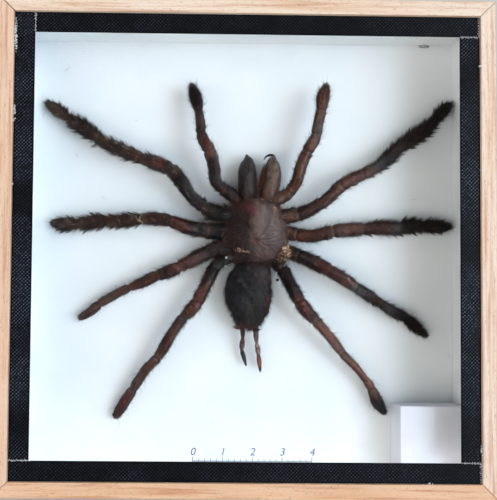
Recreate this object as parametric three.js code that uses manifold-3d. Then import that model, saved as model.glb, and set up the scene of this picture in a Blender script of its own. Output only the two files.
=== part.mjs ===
// A dried tarantula spread in a square glazed shadow box, with a small mothball cell in its corner.
//
// Lengths are in millimetres. The box stands on its bottom edge, +Z is up and the glass faces -Y.
// Everything is drawn in the panel's own plane: x to the right, y up from the box's bottom edge and
// z out through the glass, from the middle of the box's depth. The panel group then stands it upright.

import * as THREE from 'three';
import Module from 'manifold-3d';

// Box
const BOX_SIDE = 155;
const BOX_DEPTH = 25;
const WOOD = 4.6; // width of a wooden strip, seen from the front
const MITRE_GAP = 0.15;
const FIT = 0.1; // gap between pieces that lie against each other

// Layers, from the front of the wood to its back
const TAPE_SINK = 0.9;
const TAPE_THICK = 0.25;
const TAPE_WIDTH = 6.3;
const GLASS_THICK = 2;
const ROOM_DEPTH = 18; // clear depth between the glass and the backing
const BACKING_THICK = 2.5;
const LINER_THICK = 1.4;

// Mothball cell in the lower right corner
const CELL_WIDTH = 20.8;
const CELL_HEIGHT = 21.2;
const CELL_DEPTH = 10.8;
const CELL_CARD = 0.8;

const SEAM = 0.3; // gap between neighbouring pieces of the spider
const LIMB_SIDES = 8;
const RINGS_PER_STATION = 2;

const HALF = BOX_SIDE / 2;
const OPENING = HALF - WOOD; // half the clear opening between the wooden strips
const PANE = OPENING - FIT;
const TAPE_FRONT = BOX_DEPTH / 2 - TAPE_SINK;
const GLASS_FRONT = TAPE_FRONT - TAPE_THICK - FIT;
const GLASS_BACK = GLASS_FRONT - GLASS_THICK;
const BACKING_FRONT = GLASS_BACK - ROOM_DEPTH;
const ROOM = PANE - LINER_THICK; // half the clear width between the liner walls

// The spider. A station is [x, y, height above the backing, width] and a body station adds a
// thickness. x is from the box's middle and y from its bottom edge. A limb runs from tip to root.
const LIMBS = {
  pedipalp_left: [
    [-17.5, 133, 5, 1.8], [-16, 128, 6, 3.6], [-15, 123.5, 7, 2.8], [-14.5, 119.5, 8, 3.2],
    [-14, 115, 8.5, 3.2], [-11.5, 110, 8.5, 3.6], [-10, 104.5, 8, 3.7], [-9.5, 100.5, 7, 3.7],
    [-7, 98, 6, 3.8], [-4, 96, 5.5, 4], [-2, 94.5, 5, 4],
  ],
  leg_left_1: [
    [-66.5, 127.5, 2, 1.6], [-62.5, 124.5, 2.5, 3.2], [-58.5, 121.5, 3.5, 2.6], [-54, 118.5, 4, 3.4],
    [-47.5, 114, 5, 2.8], [-41, 110.5, 6, 3.6], [-33.5, 107.5, 6.5, 3.4], [-29, 106, 7, 4.2],
    [-24.5, 104, 7, 4], [-21, 100.5, 7, 4.2], [-17.5, 95.5, 6, 3.8], [-13, 92, 5, 4.4],
    [-10, 90.5, 4.5, 4.6], [-5.5, 89.5, 4.5, 4.4],
  ],
  leg_left_2: [
    [-64, 86.5, 2, 1.6], [-59.5, 86, 2.5, 3.4], [-54.5, 86, 3.5, 2.6], [-50, 86.5, 4, 3.2],
    [-45, 87, 4.5, 2.8], [-39, 87, 5.5, 3.4], [-33.5, 87.5, 6, 3], [-29, 87.5, 6.5, 4.2],
    [-24, 87, 7, 4], [-19, 85, 6.5, 4.4], [-12.5, 84, 5, 4.4], [-10, 84, 4.5, 4.6],
    [-5.5, 84, 4.5, 4.4],
  ],
  leg_left_3: [
    [-54.5, 54.5, 2, 1.6], [-50.5, 57, 2.5, 3], [-47.5, 59.5, 3, 2.4], [-42.5, 62.5, 3.5, 2.8],
    [-37.5, 65, 4, 2.2], [-32.5, 67, 4.5, 3], [-28.5, 69, 5.5, 2.8], [-24.5, 70, 6, 3.8],
    [-21, 72, 6.5, 3.8], [-17, 74, 6, 4.2], [-11.5, 77, 5, 4.4], [-9, 78, 4.5, 4.2],
    [-5, 79, 4.5, 4],
  ],
  leg_left_4: [
    [-42, 21.5, 2, 1.6], [-39.5, 26, 2.5, 3.2], [-36, 31.5, 3.5, 2.2], [-31.5, 38, 4, 2.7],
    [-28, 42, 5, 2.5], [-24, 48.5, 6, 3.2], [-19.5, 55.5, 6.5, 3.3], [-17, 58, 7, 4],
    [-15, 60.5, 7, 3.9], [-12.5, 65.5, 6.5, 3.7], [-9.5, 71.5, 5, 4], [-7.5, 73.5, 4.5, 4],
    [-4, 75.5, 4.5, 3.6],
  ],
  pedipalp_right: [
    [27, 132.5, 8, 1.8], [25.5, 127.5, 9, 3.6], [25, 123.5, 9.5, 3], [24, 119.5, 9.5, 3],
    [23, 114.5, 9.5, 3.4], [20.5, 110, 9, 3.8], [18.5, 105, 8, 3.7], [17.5, 100.5, 7, 3.6],
    [15, 97, 6, 3.8], [12, 95, 5.5, 4], [9.5, 93.5, 5, 4],
  ],
  leg_right_1: [
    [70.5, 128.5, 2, 1.6], [68, 126, 2.5, 3], [64.5, 122, 3.5, 2.6], [59, 117.5, 4, 3.6],
    [52, 112.5, 5, 3.2], [45.5, 106.5, 6, 3.2], [39.5, 103, 6.5, 3.4], [35, 101, 7, 4],
    [32, 99, 7, 4], [25.5, 93, 6.5, 3.6], [18.5, 90, 5, 4.4], [16, 89.5, 4.5, 4.6],
    [11.5, 89, 4.5, 4.4],
  ],
  leg_right_2: [
    [70.5, 86.5, 2, 1.6], [65.5, 86.5, 2.5, 3.4], [60, 86.5, 3.5, 2.6], [56, 86.5, 4, 3.4],
    [52, 85.5, 4.5, 3], [45.5, 85.5, 5.5, 3.4], [39.5, 85, 6, 3.4], [34.5, 84.5, 6.5, 4.2],
    [29.5, 84, 7, 4.1], [23.5, 82.5, 6.5, 4], [18, 83, 5, 4.2], [15.5, 83.5, 4.5, 4.2],
    [11, 83.5, 4.5, 4.2],
  ],
  leg_right_3: [
    [61.5, 50, 2, 1.6], [58, 53, 2.5, 3], [54.5, 56, 3, 2.6], [50, 58, 3.5, 2.8],
    [46, 60.5, 4, 2.6], [42, 63, 4.5, 3], [37.5, 65.5, 5.5, 3.2], [33, 68.5, 6, 3.6],
    [28.5, 71, 6.5, 3.8], [24, 73.5, 6, 4], [18.5, 76, 5, 4.2], [16, 77, 4.5, 4.2],
    [11, 78.5, 4.5, 3.8],
  ],
  leg_right_4: [
    [48, 23.5, 2, 1.6], [45.5, 27.5, 2.5, 3.4], [43, 32.5, 3.5, 2.8], [38.5, 38.5, 4, 2.2],
    [33, 44, 5, 2.6], [28.5, 49.5, 6, 3], [24, 54.5, 6.5, 3.2], [21, 57.5, 7, 3.9],
    [18.5, 61, 7, 3.9], [15.5, 66.5, 6.5, 3.9], [13, 71.5, 5, 4], [11.5, 73.5, 4.5, 4],
    [8.5, 75.5, 4.5, 3.6],
  ],
};

const CEPHALOTHORAX = [
  [3.6, 95.4, 5, 7, 4], [3.6, 94, 5, 14, 7], [3.6, 91.5, 5, 17, 8.4], [3.6, 88, 5, 19.8, 8.8],
  [3.5, 84.7, 5, 21, 8.8], [3.6, 81.2, 4.8, 20, 8.4], [3.7, 78, 4.6, 17.4, 7.6],
  [3.7, 75.5, 4.4, 13.8, 6.6], [3.8, 73.4, 4.2, 8.6, 5], [3.8, 72.6, 4.2, 3.6, 3],
];

const ABDOMEN = [
  [2.4, 72, 4.6, 5, 5], [2.4, 70, 5, 12, 8.6], [2.5, 67.5, 5.1, 15, 9.4], [2.3, 64.5, 5.1, 15.6, 9.6],
  [2.3, 61, 5, 14.8, 9.2], [2.2, 58, 4.8, 12.8, 8.4], [2.2, 54.8, 4.5, 9.4, 7], [2.4, 52.6, 4.2, 7, 5.4],
  [2.4, 51.7, 4, 3.6, 3],
];

const CHELICERAE = {
  chelicera_left: [
    [1, 109.3, 5, 1.4, 1.4], [1.3, 107.8, 5.4, 4, 3.8], [1.2, 104.5, 5.8, 5.2, 5.2],
    [1.1, 101, 6, 5.6, 5.8], [1.2, 97.5, 6, 5.6, 6], [1.3, 95.8, 5.8, 5.3, 5.6],
  ],
  chelicera_right: [
    [10, 107.9, 5.2, 2.6, 2.4], [9.5, 106.6, 5.4, 4, 3.8], [8.9, 104.2, 5.8, 5.2, 5.2],
    [8, 101, 6, 6.2, 5.8], [7.6, 97.5, 6, 6, 6], [7.3, 95.8, 5.8, 5.5, 5.6],
  ],
};

const FANGS = {
  fang_left: [
    [1.4, 109.3, 3.2, 1.3, 1.3], [1.6, 108.6, 2.2, 1.1, 1.1], [1.9, 106.8, 1.9, 0.8, 0.8],
    [2.1, 104.8, 2, 0.6, 0.6], [2.2, 103, 2.1, 0.3, 0.3],
  ],
  fang_right: [
    [10.3, 108.6, 5.2, 1.3, 1.3], [9.9, 109.4, 5.1, 1.1, 1.1], [9, 109.8, 5, 0.9, 0.9],
    [8, 109.6, 4.8, 0.7, 0.7], [7.2, 109, 4.6, 0.5, 0.5], [6.7, 108.3, 4.5, 0.3, 0.3],
  ],
};

const SPINNERETS = {
  spinneret_left: [
    [0.2, 52.8, 3, 1.8, 1.8], [0.3, 48.5, 3, 1.7, 1.7], [0.7, 44.5, 2.6, 1.6, 1.6],
    [1.9, 39.3, 2, 0.6, 0.6],
  ],
  spinneret_right: [
    [4.5, 52.8, 3, 1.8, 1.8], [5.1, 48, 3, 1.8, 1.8], [5.6, 44, 2.6, 1.7, 1.7],
    [6.3, 37.3, 2, 0.7, 0.7],
  ],
};

const wasm = await Module();
wasm.setup();

const finishes = {
  wood: { color: 0xe3c39b, roughness: 0.62 },
  liner: { color: 0xf0f1ee, roughness: 0.85 },
  backing: { color: 0xeef2f5, roughness: 0.8 },
  glass: { color: 0xf4fbfa, roughness: 0.05, transparent: true, opacity: 0.2 },
  tape: { color: 0x15161a, roughness: 0.8 },
  card: { color: 0xecebf3, roughness: 0.85 },
  carapace: { color: 0x3b2722, roughness: 0.5 },
  abdomen: { color: 0x231d1e, roughness: 0.75 },
  limb: { color: 0x3d241d, roughness: 0.5 },
  jaw: { color: 0x35302c, roughness: 0.5 },
  fang: { color: 0x1c1714, roughness: 0.3 },
};

const model = new THREE.Group();
const panel = new THREE.Group();
panel.rotation.x = Math.PI / 2;
model.add(panel);

function addPart(name, geometry, finish) {
  const material = new THREE.MeshStandardMaterial({ metalness: 0, ...finishes[finish] });
  const mesh = new THREE.Mesh(geometry, material);
  mesh.name = name;
  panel.add(mesh);
  return mesh;
}

// A plain block between two x, two y and two z values, with x and y from the middle of the box.
function block([x0, x1], [y0, y1], [z0, z1]) {
  const geometry = new THREE.BoxGeometry(x1 - x0, y1 - y0, z1 - z0);
  geometry.translate((x0 + x1) / 2, HALF + (y0 + y1) / 2, (z0 + z1) / 2);
  return geometry;
}

// One mitred strip of the wooden frame along the bottom, turned about the middle for the other three.
function frameStrip(turn) {
  const shape = new THREE.Shape([
    new THREE.Vector2(-HALF + MITRE_GAP, -HALF),
    new THREE.Vector2(HALF - MITRE_GAP, -HALF),
    new THREE.Vector2(OPENING - MITRE_GAP, -OPENING),
    new THREE.Vector2(-OPENING + MITRE_GAP, -OPENING),
  ]);
  const geometry = new THREE.ExtrudeGeometry(shape, { depth: BOX_DEPTH, bevelEnabled: false });
  geometry.translate(0, 0, -BOX_DEPTH / 2);
  geometry.rotateZ(turn);
  geometry.translate(0, HALF, 0);
  return geometry;
}

// A closed skin through elliptic rings that follow the stations, with a flat cap at each end.
function loft(stations, sides, grow = 0) {
  const centres = stations.map(([x, y, height]) => new THREE.Vector3(x, y, BACKING_FRONT + height));
  const sizes = stations.map(([, , , width, thick = width]) => {
    return new THREE.Vector3(width / 2 + grow, thick / 2 + grow, 0);
  });
  const path = new THREE.CatmullRomCurve3(centres, false, 'centripetal');
  const sizePath = new THREE.CatmullRomCurve3(sizes, false, 'centripetal');
  const out = new THREE.Vector3(0, 0, 1);
  const ringCount = (stations.length - 1) * RINGS_PER_STATION + 1;
  const positions = [];
  const index = [];

  for (let ring = 0; ring < ringCount; ring++) {
    const share = ring / (ringCount - 1);
    const centre = path.getPoint(share);
    const along = path.getTangent(share);
    const across = out.clone().cross(along).normalize();
    const rise = along.clone().cross(across).normalize();
    const size = sizePath.getPoint(share);
    if (ring === 0) centre.addScaledVector(along, -grow);
    if (ring === ringCount - 1) centre.addScaledVector(along, grow);
    for (let side = 0; side < sides; side++) {
      const angle = (side / sides) * 2 * Math.PI;
      const point = centre.clone();
      point.addScaledVector(across, size.x * Math.cos(angle));
      point.addScaledVector(rise, size.y * Math.sin(angle));
      positions.push(...point.toArray());
    }
  }
  for (let ring = 0; ring < ringCount - 1; ring++) {
    for (let side = 0; side < sides; side++) {
      const next = (side + 1) % sides;
      const a = ring * sides + side;
      const b = ring * sides + next;
      index.push(a, b, b + sides, a, b + sides, a + sides);
    }
  }
  const last = (ringCount - 1) * sides;
  for (let side = 1; side < sides - 1; side++) {
    index.push(0, side + 1, side);
    index.push(last, last + side, last + side + 1);
  }
  const geometry = new THREE.BufferGeometry();
  geometry.setAttribute('position', new THREE.Float32BufferAttribute(positions, 3));
  geometry.setIndex(index);
  return geometry;
}

function toSolid(geometry) {
  return new wasm.Manifold(new wasm.Mesh({
    numProp: 3,
    vertProperties: new Float32Array(geometry.attributes.position.array),
    triVerts: new Uint32Array(geometry.index.array),
  }));
}

function toGeometry(solid) {
  const mesh = solid.getMesh();
  const geometry = new THREE.BufferGeometry();
  geometry.setAttribute('position', new THREE.Float32BufferAttribute(mesh.vertProperties, 3));
  geometry.setIndex(new THREE.Uint32BufferAttribute(mesh.triVerts, 1));
  geometry.computeVertexNormals();
  return geometry;
}

// A block's solid needs corners that its faces share.
function blockSolid(xs, ys, zs) {
  const corners = [];
  for (const z of zs) for (const y of ys) for (const x of xs) corners.push(x, HALF + y, z);
  const geometry = new THREE.BufferGeometry();
  geometry.setAttribute('position', new THREE.Float32BufferAttribute(corners, 3));
  geometry.setIndex([
    0, 2, 3, 0, 3, 1, 4, 5, 7, 4, 7, 6, 0, 1, 5, 0, 5, 4,
    2, 6, 7, 2, 7, 3, 0, 4, 6, 0, 6, 2, 1, 3, 7, 1, 7, 5,
  ]);
  return toSolid(geometry);
}

function buildBox() {
  ['bottom', 'right', 'top', 'left'].forEach((side, count) => {
    addPart(`frame_${side}`, frameStrip((count * Math.PI) / 2), 'wood');
  });
  addPart('glass_pane', block([-PANE, PANE], [-PANE, PANE], [GLASS_BACK, GLASS_FRONT]), 'glass');
  const backingBack = BACKING_FRONT - BACKING_THICK;
  addPart('backing_board', block([-PANE, PANE], [-PANE, PANE], [backingBack, BACKING_FRONT]), 'backing');

  const linerDepth = [BACKING_FRONT + FIT, GLASS_BACK - FIT];
  const between = [-ROOM + FIT, ROOM - FIT];
  addPart('liner_bottom', block([-PANE, PANE], [-PANE, -ROOM], linerDepth), 'liner');
  addPart('liner_top', block([-PANE, PANE], [ROOM, PANE], linerDepth), 'liner');
  addPart('liner_left', block([-PANE, -ROOM], between, linerDepth), 'liner');
  addPart('liner_right', block([ROOM, PANE], between, linerDepth), 'liner');
}

// The tape along the bottom runs right across, and each other strip butts against one laid over it.
function buildTape() {
  const inner = PANE - TAPE_WIDTH;
  const depth = [TAPE_FRONT - TAPE_THICK, TAPE_FRONT];
  const aboveBottom = -inner + FIT;
  addPart('tape_bottom', block([-PANE, PANE], [-PANE, -inner], depth), 'tape');
  addPart('tape_left', block([-PANE, -inner], [aboveBottom, PANE], depth), 'tape');
  addPart('tape_top', block([-inner + FIT, PANE], [inner, PANE], depth), 'tape');
  addPart('tape_right', block([inner, PANE], [aboveBottom, inner - FIT], depth), 'tape');
}

// A folded card with a front, a left side and a top: the liner walls and the backing close the rest.
function buildMothballCell() {
  const right = ROOM - FIT;
  const bottom = -ROOM + FIT;
  const left = right - CELL_WIDTH;
  const top = bottom + CELL_HEIGHT;
  const back = BACKING_FRONT + FIT;
  const front = BACKING_FRONT + CELL_DEPTH;
  const past = 1;
  const outside = blockSolid([left, right], [bottom, top], [back, front]);
  const inside = blockSolid(
    [left + CELL_CARD, right + past],
    [bottom - past, top - CELL_CARD],
    [back - past, front - CELL_CARD],
  );
  addPart('mothball_cell', toGeometry(outside.subtract(inside)), 'card');
}

// Each piece of the spider stops a seam's width short of the ones that it grows from.
function buildSpider() {
  const shield = toSolid(loft(CEPHALOTHORAX, 24, SEAM));
  const belly = toSolid(loft(ABDOMEN, 20, SEAM));
  addPart('cephalothorax', loft(CEPHALOTHORAX, 24), 'carapace');
  addPart('abdomen', toGeometry(toSolid(loft(ABDOMEN, 20)).subtract(shield)), 'abdomen');

  const jaws = [];
  for (const [name, stations] of Object.entries(CHELICERAE)) {
    addPart(name, toGeometry(toSolid(loft(stations, 12)).subtract(shield)), 'jaw');
    jaws.push(toSolid(loft(stations, 12, SEAM)));
  }
  for (const [name, stations] of Object.entries(FANGS)) {
    let fang = toSolid(loft(stations, 6));
    for (const jaw of jaws) fang = fang.subtract(jaw);
    addPart(name, toGeometry(fang), 'fang');
  }
  for (const [name, stations] of Object.entries(LIMBS)) {
    let limb = toSolid(loft(stations, LIMB_SIDES)).subtract(shield).subtract(belly);
    for (const jaw of jaws) limb = limb.subtract(jaw);
    addPart(name, toGeometry(limb), 'limb');
  }
  for (const [name, stations] of Object.entries(SPINNERETS)) {
    addPart(name, toGeometry(toSolid(loft(stations, LIMB_SIDES)).subtract(belly)), 'limb');
  }
}

buildBox();
buildTape();
buildMothballCell();
buildSpider();

export default model;
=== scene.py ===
"""A dried tarantula spread in a square glazed shadow box, with a mothball cell in its corner.

Shapes are drawn in the panel's own millimetres: x to the right from the box's middle, y up from
its bottom edge and z out through the glass from the middle of its depth. to_world turns them into
the frame's metres, where the glass faces -Y.
"""

import itertools
import math

import bmesh
import bpy
import numpy as np
from mathutils import Matrix, Vector


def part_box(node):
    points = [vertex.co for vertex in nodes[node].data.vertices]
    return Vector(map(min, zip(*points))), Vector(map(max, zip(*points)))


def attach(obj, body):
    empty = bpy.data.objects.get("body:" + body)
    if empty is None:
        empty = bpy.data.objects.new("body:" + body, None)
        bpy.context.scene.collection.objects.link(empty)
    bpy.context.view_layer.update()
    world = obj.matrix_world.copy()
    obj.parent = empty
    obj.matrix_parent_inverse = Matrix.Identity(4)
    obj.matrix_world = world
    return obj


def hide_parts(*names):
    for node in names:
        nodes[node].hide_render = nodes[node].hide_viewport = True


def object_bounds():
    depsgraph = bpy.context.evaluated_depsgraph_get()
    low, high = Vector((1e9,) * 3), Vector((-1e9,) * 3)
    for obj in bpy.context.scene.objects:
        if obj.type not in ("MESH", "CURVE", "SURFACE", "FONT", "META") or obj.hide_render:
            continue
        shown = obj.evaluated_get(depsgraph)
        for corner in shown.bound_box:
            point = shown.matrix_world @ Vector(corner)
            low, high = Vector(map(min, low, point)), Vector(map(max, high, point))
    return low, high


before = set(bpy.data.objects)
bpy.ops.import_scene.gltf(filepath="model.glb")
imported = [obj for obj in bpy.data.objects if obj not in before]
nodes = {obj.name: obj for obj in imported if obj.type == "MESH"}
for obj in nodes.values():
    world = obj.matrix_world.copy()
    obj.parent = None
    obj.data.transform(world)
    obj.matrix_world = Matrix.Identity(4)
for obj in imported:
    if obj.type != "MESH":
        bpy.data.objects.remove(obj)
cad_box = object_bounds()

MM = 0.001
OUT = np.array([0.0, 0.0, 1.0])  # from the backing towards the glass
SIDES_OF_BOX = ("bottom", "right", "top", "left")


def panel_box(node):
    """Lowest and highest corner of a CAD node, in the panel's millimetres."""
    low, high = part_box(node)
    return np.array((low.x, low.z, -high.y)) / MM, np.array((high.x, high.z, -low.y)) / MM


def to_world(points):
    return np.column_stack((points[:, 0], -points[:, 2], points[:, 1])) * MM


BACKING_FRONT = panel_box("backing_board")[1][2]
WOOD_FRONT = panel_box("frame_top")[1][2]
BOX_MIDDLE = Vector((0, 0, (cad_box[0].z + cad_box[1].z) / 2))

# ---------------------------------------------------------------------------------------------
# Camera, floor and light
# ---------------------------------------------------------------------------------------------

CAMERA_PLACE = (-19.52, 54.41, 226.61)  # panel millimetres
CAMERA_PITCH, CAMERA_YAW, CAMERA_ROLL = 1.852, -0.59, 0.494  # degrees
LENS, SENSOR = 50.14, 36.0
SHIFT = (0.1157, 0.0953)  # the box is seen from left of its middle, with the sensor level to it

# Lamps: degrees right of the glass's direction, degrees up, metres away, size in metres, watts, colour.
KEY = (43, -11, 2.0, (1.1, 0.7), 13.0, (0.64, 0.79, 1.0))
GLINT = (33, 10, 1.2, (0.16, 0.30), 4.0, (0.92, 0.97, 1.0))
BACK = (200, 40, 1.4, (0.9, 0.9), 9.0, (1.0, 0.98, 0.95))
UNMIRRORED = {
    "fill": (-3, -20, 2.4, (2.6, 1.3), 10.6, (1.0, 0.91, 0.88)),
    "bounce": (0, -42, 2.4, (2.6, 0.8), 9.4, (1.0, 0.95, 0.84)),
    "side": (-50, -14, 2.0, (2.0, 1.0), 13.6, (1.0, 0.95, 0.9)),
}
SKY = (0.60, 0.60, 0.59, 1)
FLOOR_HALF = 1.5  # metres


def make_camera():
    camera = bpy.data.objects.new("camera", bpy.data.cameras.new("camera"))
    bpy.context.scene.collection.objects.link(camera)
    place = Vector(to_world(np.array([CAMERA_PLACE]))[0])
    upright = Matrix.Rotation(math.radians(90), 4, "X")
    turn = (
        Matrix.Rotation(math.radians(CAMERA_YAW), 4, "Y")
        @ Matrix.Rotation(math.radians(CAMERA_PITCH), 4, "X")
        @ Matrix.Rotation(math.radians(CAMERA_ROLL), 4, "Z")
    )
    camera.matrix_world = Matrix.Translation(place) @ upright @ turn
    camera.data.lens, camera.data.sensor_width = LENS, SENSOR
    camera.data.shift_x, camera.data.shift_y = SHIFT
    camera.data.clip_start, camera.data.clip_end = 0.01, 20
    bpy.context.scene.camera = camera


def area_light(name, bearing, rise, distance, size, power, colour):
    """A soft box aimed at the box, at those degrees right of the glass's direction and up."""
    lamp = bpy.data.lights.new(name, "AREA")
    lamp.shape, lamp.size, lamp.size_y = "RECTANGLE", *size
    lamp.energy, lamp.color = power, colour
    light = bpy.data.objects.new(name, lamp)
    bpy.context.scene.collection.objects.link(light)
    a, e = math.radians(bearing), math.radians(rise)
    away = Vector((math.sin(a) * math.cos(e), -math.cos(a) * math.cos(e), math.sin(e)))
    light.location = BOX_MIDDLE + away * distance
    light.rotation_mode = "QUATERNION"
    light.rotation_quaternion = away.to_track_quat("Z", "Y")
    light.visible_camera = False
    lamp.cycles.use_multiple_importance_sampling = False  # its whole light comes by shadow rays
    light.visible_transmission = False  # shadow rays pass the pane, so this keeps a lamp from counting twice
    return light


def make_light():
    area_light("key", *KEY)
    area_light("glint", *GLINT).visible_diffuse = False
    for name, lamp in UNMIRRORED.items():
        area_light(name, *lamp).visible_glossy = False
    area_light("back", *BACK)

    world = bpy.data.worlds.new("studio")
    bpy.context.scene.world = world
    world.use_nodes = True
    world.node_tree.nodes["Background"].inputs["Color"].default_value = SKY
    world.cycles_visibility.glossy = False  # so that the pane mirrors lamps, but not the room
    world.cycles_visibility.transmission = False


def make_floor():
    corners = [(x * FLOOR_HALF, y * FLOOR_HALF, 0) for x, y in ((-1, -1), (1, -1), (1, 1), (-1, 1))]
    mesh = bpy.data.meshes.new("floor")
    mesh.from_pydata(corners, [], [(0, 1, 2, 3)])
    finish = Finish("floor_paper", {"Roughness": 0.7})
    finish.colour_by(finish.grit(0.004), [(0.3, rgb(226, 227, 228)), (0.7, rgb(234, 235, 235))])
    mesh.materials.append(finish.material)
    floor = bpy.data.objects.new("floor", mesh)
    bpy.context.scene.collection.objects.link(floor)
    floor.visible_glossy = floor.visible_transmission = False  # the pane doesn't mirror it
    floor.visible_shadow = False  # light comes up past it, as it does off a table top


# ---------------------------------------------------------------------------------------------
# Materials
# ---------------------------------------------------------------------------------------------


def rgb(red, green, blue):
    """A colour from the usual 0-255 numbers, as the linear values that a shader takes."""
    linear = [c / 255 / 12.92 if c < 10 else ((c / 255 + 0.055) / 1.055) ** 2.4 for c in (red, green, blue)]
    return (*linear, 1.0)


class Finish:
    """One node material round a Principled shader, with short ways to add the nodes it needs."""

    def __init__(self, name, sockets):
        self.material = bpy.data.materials.new(name)
        self.material.use_nodes = True
        self.tree = self.material.node_tree
        self.shader = self.tree.nodes["Principled BSDF"]
        for label, value in sockets.items():
            self.shader.inputs[label].default_value = value

    def add(self, kind, inputs, **settings):
        node = self.tree.nodes.new("ShaderNode" + kind)
        for key, value in settings.items():
            setattr(node, key, value)
        for key, value in inputs.items():
            if isinstance(value, bpy.types.NodeSocket):
                self.tree.links.new(value, node.inputs[key])
            else:
                node.inputs[key].default_value = value
        return node

    def attribute(self, name, output="Fac"):
        return self.add("Attribute", {}, attribute_name=name).outputs[output]

    def stretched(self, source, scale, offset=(0, 0, 0)):
        return self.add("Mapping", {"Vector": source, "Scale": scale, "Location": offset}).outputs[0]

    def place(self, scale, offset=(0, 0, 0)):
        """The object's own coordinates in millimetres times scale, which is one number or three."""
        scale = [float(s) / MM for s in np.broadcast_to(scale, 3)]
        return self.stretched(self.add("TexCoord", {}).outputs["Object"], scale, offset)

    def noise(self, vector, scale, detail=3.0, roughness=0.55):
        inputs = {"Vector": vector, "Scale": scale, "Detail": detail, "Roughness": roughness}
        return self.add("TexNoise", inputs).outputs["Fac"]

    def grit(self, scale, detail=3.0, roughness=0.55):
        """Noise in the object's own millimetres."""
        return self.noise(self.place(scale), 1, detail, roughness)

    def spread(self, value, low, high, new_low=0.0, new_high=1.0):
        inputs = {"Value": value, "From Min": low, "From Max": high, "To Min": new_low, "To Max": new_high}
        return self.add("MapRange", inputs).outputs["Result"]

    def ramp(self, factor, stops):
        node = self.add("ValToRGB", {"Fac": factor})
        elements = node.color_ramp.elements
        elements[0].position, elements[0].color = stops[0]
        elements[1].position, elements[1].color = stops[-1]
        for position, colour in stops[1:-1]:
            elements.new(position).color = colour
        return node.outputs["Color"]

    def mix(self, factor, first, second, blend="MIX"):
        node = self.add("Mix", {0: factor, 6: first, 7: second}, data_type="RGBA", blend_type=blend)
        return node.outputs[2]

    def stain(self, under, colour, value, low, high, most):
        """Colour over under, from none of it where value is low to most of it where value is high."""
        return self.mix(self.spread(value, low, high, 0, most), under, colour)

    def math(self, operation, first, second):
        return self.add("Math", {0: first, 1: second}, operation=operation).outputs[0]

    def drive(self, label, socket):
        self.tree.links.new(socket, self.shader.inputs[label])

    def colour_by(self, factor, stops):
        self.drive("Base Color", self.ramp(factor, stops))

    def bump(self, height, distance, strength=1.0):
        """Relief of distance millimetres."""
        inputs = {"Height": height, "Distance": distance * MM, "Strength": strength}
        self.drive("Normal", self.add("Bump", inputs).outputs["Normal"])


def wood_finish(name, along, offset, tint):
    """Pale close-grained wood whose grain runs along axis 0 (x) or 2 (z)."""
    finish = Finish(name, {"IOR": 1.45})

    def grain(fine, long, detail, roughness):
        """Noise that is drawn out along the strip."""
        scale = [fine, fine, fine]
        scale[along] = long
        return finish.noise(finish.place(scale, offset), 1, detail, roughness)

    broad = grain(0.16, 0.012, 4, 0.6)
    streak = grain(0.9, 0.035, 4, 0.65)
    fibre = grain(3.6, 0.14, 3, 0.7)
    fleck = grain(4.2, 0.75, 2, 0.5)
    base = finish.ramp(broad, [
        (0.30, rgb(226, 184, 152)), (0.45, rgb(242, 217, 195)),
        (0.60, rgb(246, 227, 211)), (0.75, rgb(236, 200, 172)),
    ])
    lines = finish.ramp(streak, [
        (0.34, rgb(206, 148, 108)), (0.5, rgb(250, 244, 238)), (0.7, rgb(255, 255, 255)),
    ])
    toned = finish.mix(0.62, base, lines, "MULTIPLY")
    toned = finish.stain(toned, rgb(206, 152, 112), fibre, 0.52, 0.75, 0.35)
    toned = finish.stain(toned, rgb(160, 104, 72), fleck, 0.62, 0.70, 0.5)
    finish.drive("Base Color", finish.mix(1.0, toned, tint, "MULTIPLY"))
    finish.drive("Roughness", finish.spread(streak, 0.3, 0.7, 0.48, 0.66))
    finish.bump(finish.math("ADD", fibre, finish.math("MULTIPLY", fleck, -0.8)), 0.05)
    return finish.material


def tape_finish(name, glint):
    """Black woven cloth tape. crest is 1 on the top of a thread, where a glint of strength glint is painted
    pale, and 0 between.
    """
    finish = Finish(f"tape_{name}", {"IOR": 1.5, "Specular IOR Level": 0.2})
    crest = finish.attribute("crest")
    cloth = finish.ramp(crest, [(0.25, rgb(3, 3, 5)), (0.7, rgb(10, 11, 16)), (1.0, rgb(24, 27, 38))])
    worn = finish.stain(cloth, rgb(30, 36, 50), finish.grit(0.35, 4), 0.45, 0.75, 0.2)
    patch = finish.spread(finish.grit(0.06), 0.38, 0.62, 0.15, 1.25)
    lit = finish.math("MULTIPLY", patch, finish.spread(finish.grit(1.4, 2), 0.42, 0.6, 0.2, 1.1))
    # Painted glint: pale blue-white on the thread tops, in patches.
    shine = finish.math("MULTIPLY", finish.spread(crest, 0.55, 0.95, 0, glint), lit)
    finish.drive("Base Color", finish.mix(shine, worn, rgb(150, 164, 196)))
    finish.drive("Roughness", finish.spread(crest, 0.2, 1.0, 0.8, 0.4))
    finish.bump(finish.grit(6, 2), 0.02)
    return finish.material


def glass_finish():
    finish = Finish("pane_glass", {"Roughness": 0.0, "IOR": 1.5, "Transmission Weight": 1.0})
    finish.colour_by(finish.grit(0.05), [(0.3, rgb(248, 252, 251)), (0.7, rgb(254, 255, 255))])
    return finish.material


def paper(name, light, dark):
    """White board or card, still open to additions: faint mottling, fine fibre and a little relief."""
    finish = Finish(name, {"IOR": 1.4, "Roughness": 0.8})
    base = finish.ramp(finish.grit(0.05, 4), [(0.3, dark), (0.7, light)])
    fibre = finish.grit(1.6)
    finish.drive("Base Color", finish.stain(base, dark, fibre, 0.35, 0.75, 0.18))
    finish.bump(fibre, 0.015)
    return finish


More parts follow.
